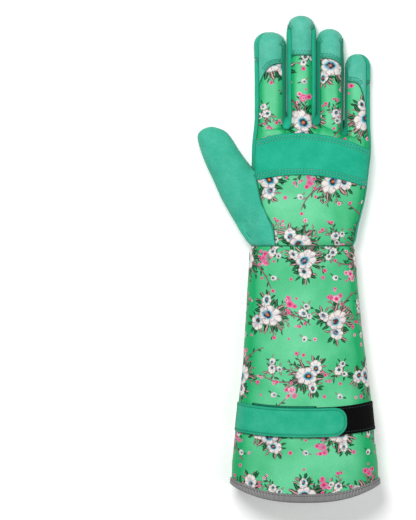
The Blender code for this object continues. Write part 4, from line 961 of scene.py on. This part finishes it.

# Leathers: main colour, worn colour, colour of the grain's specks, of the cut edges and of the painted
# shade at the seams, grain in mm, roughness, sheen.
# Fibres: dark and light colour, size of a tuft in mm, roughness, depth of the relief in mm.
MADE = (
    # Printed satin of the cuff and the back: even green with a crisp print, a painted sheen where it faces
    # up and painted shade along its seams
    printed_satin(),
    # Suede side out on the palm, band and strips: deep teal, matt
    leather("goat_leather", "17b58f", "2bc19d", "0b8566", 0.9, 0.80, 0.08),
    # The strap's piece of the same hide took less dye
    leather("goat_leather_strap", "22b58c", "3cc09b", "0f8c69", 0.9, 0.80, 0.08),
    # Under the strap the leather is in shade and reads almost black-green at its stitches
    leather("goat_leather_shaded", "129a76", "1ba583", "03301f", 0.9, 0.85, 0.0),
    # Softer nap on the thumb: greyer and paler
    leather("goat_leather_worn", "3cbb9c", "52c8ab", "188f70", 1.1, 0.76, 0.12),
    # Finger caps: a paler copy of the thumb's leather, a painted highlight, with a little shine
    leather("goat_leather_highlit", "50c0a5", "69ceb6", "249678", 1.1, 0.60, 0.12),
    # Coated tips for touch screens: black, smoother than the rest
    leather("black_touch_leather", "0c0c0c", "171717", "040404", 0.6, 0.45, 0.0, (BLACK_TOP_MM, "27b191")),
    # Loop pile of the patch: soaks up light, almost without highlight
    plain_fibre("black_loop_pile", "010101", "080808", 0.9, 0.95, 0.6),
    ribbed_braid(),
    # The cloth's unprinted inside: pale and dull
    plain_fibre("satin_reverse", "9fc9b4", "b9d8c8", 0.7, 0.8, 0.1),
    # Sewing threads, named for how they stand out from what they sew
    plain_fibre("green_thread", "12765c", "2c9d80", 0.5, 0.6, 0.1),
    # Near-black thread for the strap base's upper row: painted shade, a dark line where the tab's edge
    # shades the strip
    plain_fibre("shade_dark_thread", "03251a", "073b2b", 0.5, 0.8, 0.1),
    plain_fibre("pale_thread", "63b7a1", "93cfbf", 0.5, 0.6, 0.1),
    plain_fibre("hem_thread", "3a3a3b", "5c5c5d", 0.5, 0.6, 0.1),
    plain_fibre("dark_thread", "2c3a37", "4b6660", 0.5, 0.6, 0.1),
)

# By plain name: the frame has materials of the same names, so Blender adds a number to these
MATERIALS = {material.name.split(".")[0]: material for material in MADE}


# The cuff: a fine grid outside and inside, so that the print is sharp and the cloth can fold

def even_turns(share, count):
    """Angles that share out the way round the cuff evenly, from the middle of the underside."""
    turns = np.linspace(-math.pi / 2, 1.5 * math.pi, 721)
    points = [cuff_point(share, float(turn)) for turn in turns]
    steps = [0.0] + [math.hypot(b.x - a.x, b.z - a.z) for a, b in zip(points, points[1:])]
    way = np.cumsum(steps)
    return np.interp(np.linspace(0.0, way[-1], count + 1), way, turns), way[-1]


def cloth_grid(lift):
    """Rows of points round the cuff, wrist to hem, and where each lies on the cloth laid flat."""
    points, places = [], []
    for row in range(CUFF_ROWS + 1):
        turns, way = even_turns(row / CUFF_ROWS, CUFF_COLUMNS)
        for column, turn in enumerate(turns):
            point = cuff_point(row / CUFF_ROWS, float(turn), lift)
            points.append(point)
            places.append(((column / CUFF_COLUMNS - 0.5) * way, point.y - WRIST_Y))
    return points, places


def make_cuff():
    """The printed cuff: an outside, a plain inside, and rims at the wrist and at the hem."""
    points, places = cloth_grid(0.0)
    inner, _ = cloth_grid(-CLOTH_WALL)
    outer, width = len(points), CUFF_COLUMNS + 1
    faces = []
    for row in range(CUFF_ROWS):
        for column in range(CUFF_COLUMNS):
            a = row * width + column
            faces.append((a, a + width, a + width + 1, a + 1))
    walls = [tuple(reversed([v + outer for v in face])) for face in faces]
    for row, flip in ((0, False), (CUFF_ROWS, True)):
        for column in range(CUFF_COLUMNS):
            a = row * width + column
            rim = (a, a + 1, a + 1 + outer, a + outer)
            walls.append(tuple(reversed(rim)) if flip else rim)
    mesh = bpy.data.meshes.new("cuff_cloth")
    mesh.from_pydata([tuple(p) for p in points + inner], [], faces + walls)
    corner_places = at_corners(mesh, lambda vertex: places[vertex.index % outer])
    for polygon in mesh.polygons:
        at_seam = polygon.center.y > WRIST_Y - SEAM_GAP
        polygon.material_index = 0 if at_seam or polygon.index < len(faces) else 1
    low, high = corner_places.min(axis=0), corner_places.max(axis=0)
    lay_print(mesh, corner_places, Print(low, high, PRINT_SEED))
    for vertex in mesh.vertices:
        if vertex.co.y > WRIST_Y - SEAM_GAP:
            vertex.co.y += 0.9 * SEAM_GAP
    piece = new_object("cuff_cloth", mesh)
    work = bmesh.new()
    work.from_mesh(mesh)
    bmesh.ops.remove_doubles(work, verts=work.verts[:], dist=0.001 * MM)
    work.to_mesh(mesh)
    work.free()
    # Distance from the wrist seam, which sets the painted shade along it
    store(mesh, "edge_mm", [min(FAR_MM, (WRIST_Y - vertex.co.y) / MM) for vertex in mesh.vertices])
    ruffle(piece)
    mesh.materials.append(MATERIALS["printed_satin"])
    mesh.materials.append(MATERIALS["satin_reverse"])
    return piece


# The rest of the pieces, each drawn from its own solid

def copy_near(node, levels, rows, swell):
    """A finished piece from a solid, with the rows of stitches that run a step in from its edges."""
    piece = smooth_copy(node + "_look", node, levels)
    if node == "palm_panel":
        fit_wrist(piece)
    ruffle(piece)
    low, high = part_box(node)
    between = node.startswith("fourchette")
    rim = Rim(piece, towards_gap((low.x + high.x) / 2) if between else by_area)
    sewn = [rim.row(inset * MM, KEPT[part]) for inset, part in rows]
    edge_mm, row_mm = measure(piece, rim, sewn)
    press_rows(piece, rim, row_mm, edge_mm, swell)
    piece.data.shade_smooth()
    piece.data.set_sharp_from_angle(angle=SHADE_ANGLE)
    return piece, sewn


KEPT = {
    "all": lambda place, into: True,
    "foot": lambda place, into: into.y > 0.6,
    "head": lambda place, into: into.y < -0.6,
    "long": lambda place, into: abs(into.y) > 0.6,
    "inner": lambda place, into: into.x < -0.3 and place.y > WRIST_Y + 4.0 * MM,
}

CAP_ROWS = ((1.4, "foot"), (3.4, "foot"))
TOUCH_ROWS = ((1.5, "foot"),)

# node, record's slot, material, levels, swell in mm, thread, rows of (inset in mm, part of the edge)
PIECES = (
    ("palm_panel", "goat_leather", "goat_leather", 2, 0.0, "green_thread", ()),
    ("thumb_back", "goat_leather_worn", "goat_leather_worn", 3, 0.3, "green_thread", ((1.9, "inner"),)),
    ("fourchette_index_middle", "goat_leather", "goat_leather", 2, 0.55, "green_thread", ()),
    ("fourchette_middle_ring", "goat_leather", "goat_leather", 2, 0.95, "green_thread", ()),
    ("fourchette_ring_little", "goat_leather", "goat_leather", 2, 1.15, "green_thread", ()),
    # Finger caps wear the paler copy of the thumb's leather, a painted highlight
    *(("tip_cap_" + finger, "goat_leather_worn", "goat_leather_highlit", 3, 0.2, "green_thread", CAP_ROWS)
      for finger in ("index", "middle", "ring", "little")),
    *(("touch_tip_" + finger, "black_touch_leather", "black_touch_leather", 3, 0.1, "dark_thread",
       TOUCH_ROWS) for finger in ("thumb", "index", "middle")),
    *(("tip_panel_" + finger, "goat_leather", "goat_leather", 3, 0.1, "green_thread", CAP_ROWS)
      for finger in ("ring", "little")),
    ("knuckle_band", "goat_leather", "goat_leather", 3, 0.4, "pale_thread", ((2.4, "long"), (4.8, "long"))),
    # The strap base's near-black row of stitches at its upper edge paints the tab's shadow as a dark line
    ("strap_base", "goat_leather", "goat_leather_shaded", 3, 0.0, "shade_dark_thread", ((1.5, "head"),)),
    ("loop_patch", "black_loop_pile", "black_loop_pile", 3, 0.1, "dark_thread", ((2.1, "all"),)),
    ("strap_tab", "goat_leather", "goat_leather_strap", 3, 0.3, "green_thread", ((2.0, "all"),)),
)


def finish_piece(piece, node):
    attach(piece, "root")
    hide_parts(node)


def make_back():
    """The printed panel over the back of the hand and fingers."""
    piece, _ = copy_near("back_panel", 3, (), 0.0)
    mesh = piece.data
    places = at_corners(mesh, lambda vertex: (vertex.co.x - MIDDLE_X, vertex.co.y - WRIST_Y))
    lay_print(mesh, places, Print(places.min(axis=0), places.max(axis=0), PRINT_SEED + 3))
    mesh.materials.append(MATERIALS["printed_satin"])
    finish_piece(piece, "back_panel")


def way_round(mesh, share):
    """Store how far round the cuff each corner lies, in mm."""
    half, centre, height = cuff_section(share)
    around = 0.5 * (2 * half + height) / MM
    angles = at_corners(mesh, lambda vertex: math.atan2(
        vertex.co.z / height - CENTRE_HEIGHT, (vertex.co.x - MIDDLE_X - centre) / half))
    for polygon in mesh.polygons:
        corners = np.array(polygon.loop_indices)
        if np.ptp(angles[corners]) > math.pi:
            angles[corners[angles[corners] < 0.0]] += 2.0 * math.pi
    store(mesh, "round_mm", angles * around, "CORNER")


def make_hem(tree):
    piece, sewn = copy_near("hem_binding", 3, ((1.7, "head"),), 0.25)
    way_round(piece.data, 1.0)
    piece.data.materials.append(MATERIALS["grey_braid"])
    finish_piece(piece, "hem_binding")
    sew("hem_stitches", sewn, MATERIALS["hem_thread"], tree)


# Stitched outlines on the padded palm, in mm from the wrist seam and the middle line
UPPER_LOOP = ((-10.2, 98.6), (-7.6, 94.8), (8.1, 91.0), (23.0, 85.9), (37.4, 79.9), (39.6, 83.3),
              (34.9, 90.1), (23.0, 94.0), (8.1, 97.1))
LOWER_LOOP = ((-11.9, 72.3), (-3.4, 72.3), (6.8, 69.7), (10.7, 66.3), (7.3, 58.7), (5.1, 49.3),
              (5.1, 32.3), (-2.6, 40.0), (-8.5, 50.2), (-13.6, 62.9), (-13.9, 68.0))
LOOP_STEPS = 8

# The pad: size of its faces, its two rows in from the edge, and how deep and wide a row sinks in
PAD_FACE = 0.75 * MM
PAD_ROWS_MM = (1.6, 3.6)
PAD_SINK = 0.9 * MM
PAD_GROOVE_MM = 1.1


def closed_curve(corners):
    """A smooth closed line through a few corners, on the underside of the palm."""
    points = []
    count = len(corners)
    for i in range(count):
        a, b, c, d = (Vector((*corners[(i + k) % count], 0.0)) for k in (-1, 0, 1, 2))
        for step in range(LOOP_STEPS):
            t = step / LOOP_STEPS
            bend = (2 * a - 5 * b + 4 * c - d) * t * t + (3 * b - a - 3 * c + d) * t ** 3
            spot = 0.5 * (2 * b + (c - a) * t + bend)
            points.append(Vector((MIDDLE_X + spot.x * MM, WRIST_Y + spot.y * MM, 0.0)))
    return points


def make_pad(tree):
    """The padded palm: its underside sinks at every row of stitches and rounds off at its edge."""
    piece = smooth_copy("padded_palm", "palm_pad", 1)
    fine = piece.modifiers.new("even faces", "REMESH")
    fine.mode = "VOXEL"
    fine.voxel_size = PAD_FACE
    apply_modifiers(piece)
    solid = Rim(smooth_copy("pad_outline", "palm_pad", 2))
    outline = [solid.row(inset * MM) for inset in PAD_ROWS_MM]
    down = Vector((0.0, 0.0, -1.0))
    for corners in (UPPER_LOOP, LOWER_LOOP):
        line = closed_curve(corners)
        links = [(i, (i + 1) % len(line)) for i in range(len(line))]
        outline.append((line, [down] * len(line), links))
    bpy.data.objects.remove(bpy.data.objects["pad_outline"])
    near = search_tree([Vector((p.x, p.y, 0.0)) for points, _, _ in outline for p in points])
    edge_mm, row_mm = [], []
    for vertex in piece.data.vertices:
        gap = near.find(Vector((vertex.co.x, vertex.co.y, 0.0)))[2] / MM
        lowness = 1.0 - smooth(0.6 * MM, 2.0 * MM, vertex.co.z)
        vertex.co.z = max(0.0, vertex.co.z) + PAD_SINK * math.exp(-(gap / PAD_GROOVE_MM) ** 2) * lowness
        edge_mm.append(FAR_MM)
        row_mm.append(mix(FAR_MM, min(FAR_MM, gap), lowness))
    store(piece.data, "edge_mm", edge_mm)
    store(piece.data, "row_mm", row_mm)
    piece.data.shade_smooth()
    piece.data.materials.append(MATERIALS["goat_leather"])
    finish_piece(piece, "palm_pad")
    rows = [([Vector((p.x, p.y, PAD_SINK * 0.9)) for p in points], [down] * len(points), links)
            for points, _, links in outline]
    sew("palm_pad_stitches", rows, MATERIALS["pale_thread"], tree)


# Stage, light and camera: half a side of the table and how far under the floor it lies, in metres,
# and the light that the table and the surround give of their own
TABLE_REACH = 2.5
TABLE_DROP = 0.1 * MM
TABLE_GLOW = 0.28
SURROUND_GLOW = 0.16

# Lamps: name, place and size in metres, power in watts. Each is a disk that faces the origin.
LAMPS = (
    ("window", (-0.40, 0.70, 1.6), 0.8, 23.5),
    ("fill", (0.7, -0.3, 1.3), 1.0, 5.5),
)


def make_stage():
    """A white table, which shows as the photograph's white ground."""
    mesh = bpy.data.meshes.new("white_table")
    corners = ((-1, -1), (1, -1), (1, 1), (-1, 1))
    mesh.from_pydata([(x * TABLE_REACH, y * TABLE_REACH, 0.0) for x, y in corners], [], [(0, 1, 2, 3)])
    table = new_object("white_table", mesh)
    table.location.z = -TABLE_DROP
    material, _, surface = shader("white_paper")
    surface.inputs["Base Color"].default_value = linear("f4f4f4")
    surface.inputs["Roughness"].default_value = 0.9
    surface.inputs["Emission Color"].default_value = linear("ffffff")
    surface.inputs["Emission Strength"].default_value = TABLE_GLOW
    mesh.materials.append(material)


def make_light(name, place, size, power):
    light = bpy.data.lights.new(name, "AREA")
    light.shape = "DISK"
    light.size = size
    light.energy = power
    lamp = bpy.data.objects.new(name, light)
    bpy.context.scene.collection.objects.link(lamp)
    lamp.location = place
    lamp.rotation_euler = (-Vector(place)).to_track_quat("-Z", "Y").to_euler()


def make_camera():
    lens = bpy.data.cameras.new("camera")
    lens.lens = LENS_MM
    lens.sensor_width = SENSOR_MM
    camera = bpy.data.objects.new("camera", lens)
    bpy.context.scene.collection.objects.link(camera)
    distance = FRAME_HEIGHT * LENS_MM / SENSOR_MM
    camera.location = (MIDDLE_X + FRAME_X, WRIST_Y + FRAME_Y, MIDDLE_LEVEL + distance)
    bpy.context.scene.camera = camera


def make_world():
    world = bpy.data.worlds.new("soft_surround")
    world.use_nodes = True
    ground = world.node_tree.nodes["Background"]
    ground.inputs["Color"].default_value = linear("ffffff")
    ground.inputs["Strength"].default_value = SURROUND_GLOW
    bpy.context.scene.world = world


stitches = stitch_tree()
cuff = make_cuff()
finish_piece(cuff, "cuff")
make_back()
make_hem(stitches)
make_pad(stitches)
for node, slot, material, levels, swell, thread, rows in PIECES:
    piece, sewn = copy_near(node, levels, rows, swell)
    piece.data.materials.append(MATERIALS[material])
    finish_piece(piece, node)
    if sewn:
        sew(node + "_stitches", sewn, MATERIALS[thread], stitches)
make_stage()
make_world()
for lamp in LAMPS:
    make_light(*lamp)
make_camera()
bpy.context.scene.view_settings.view_transform = "Standard"
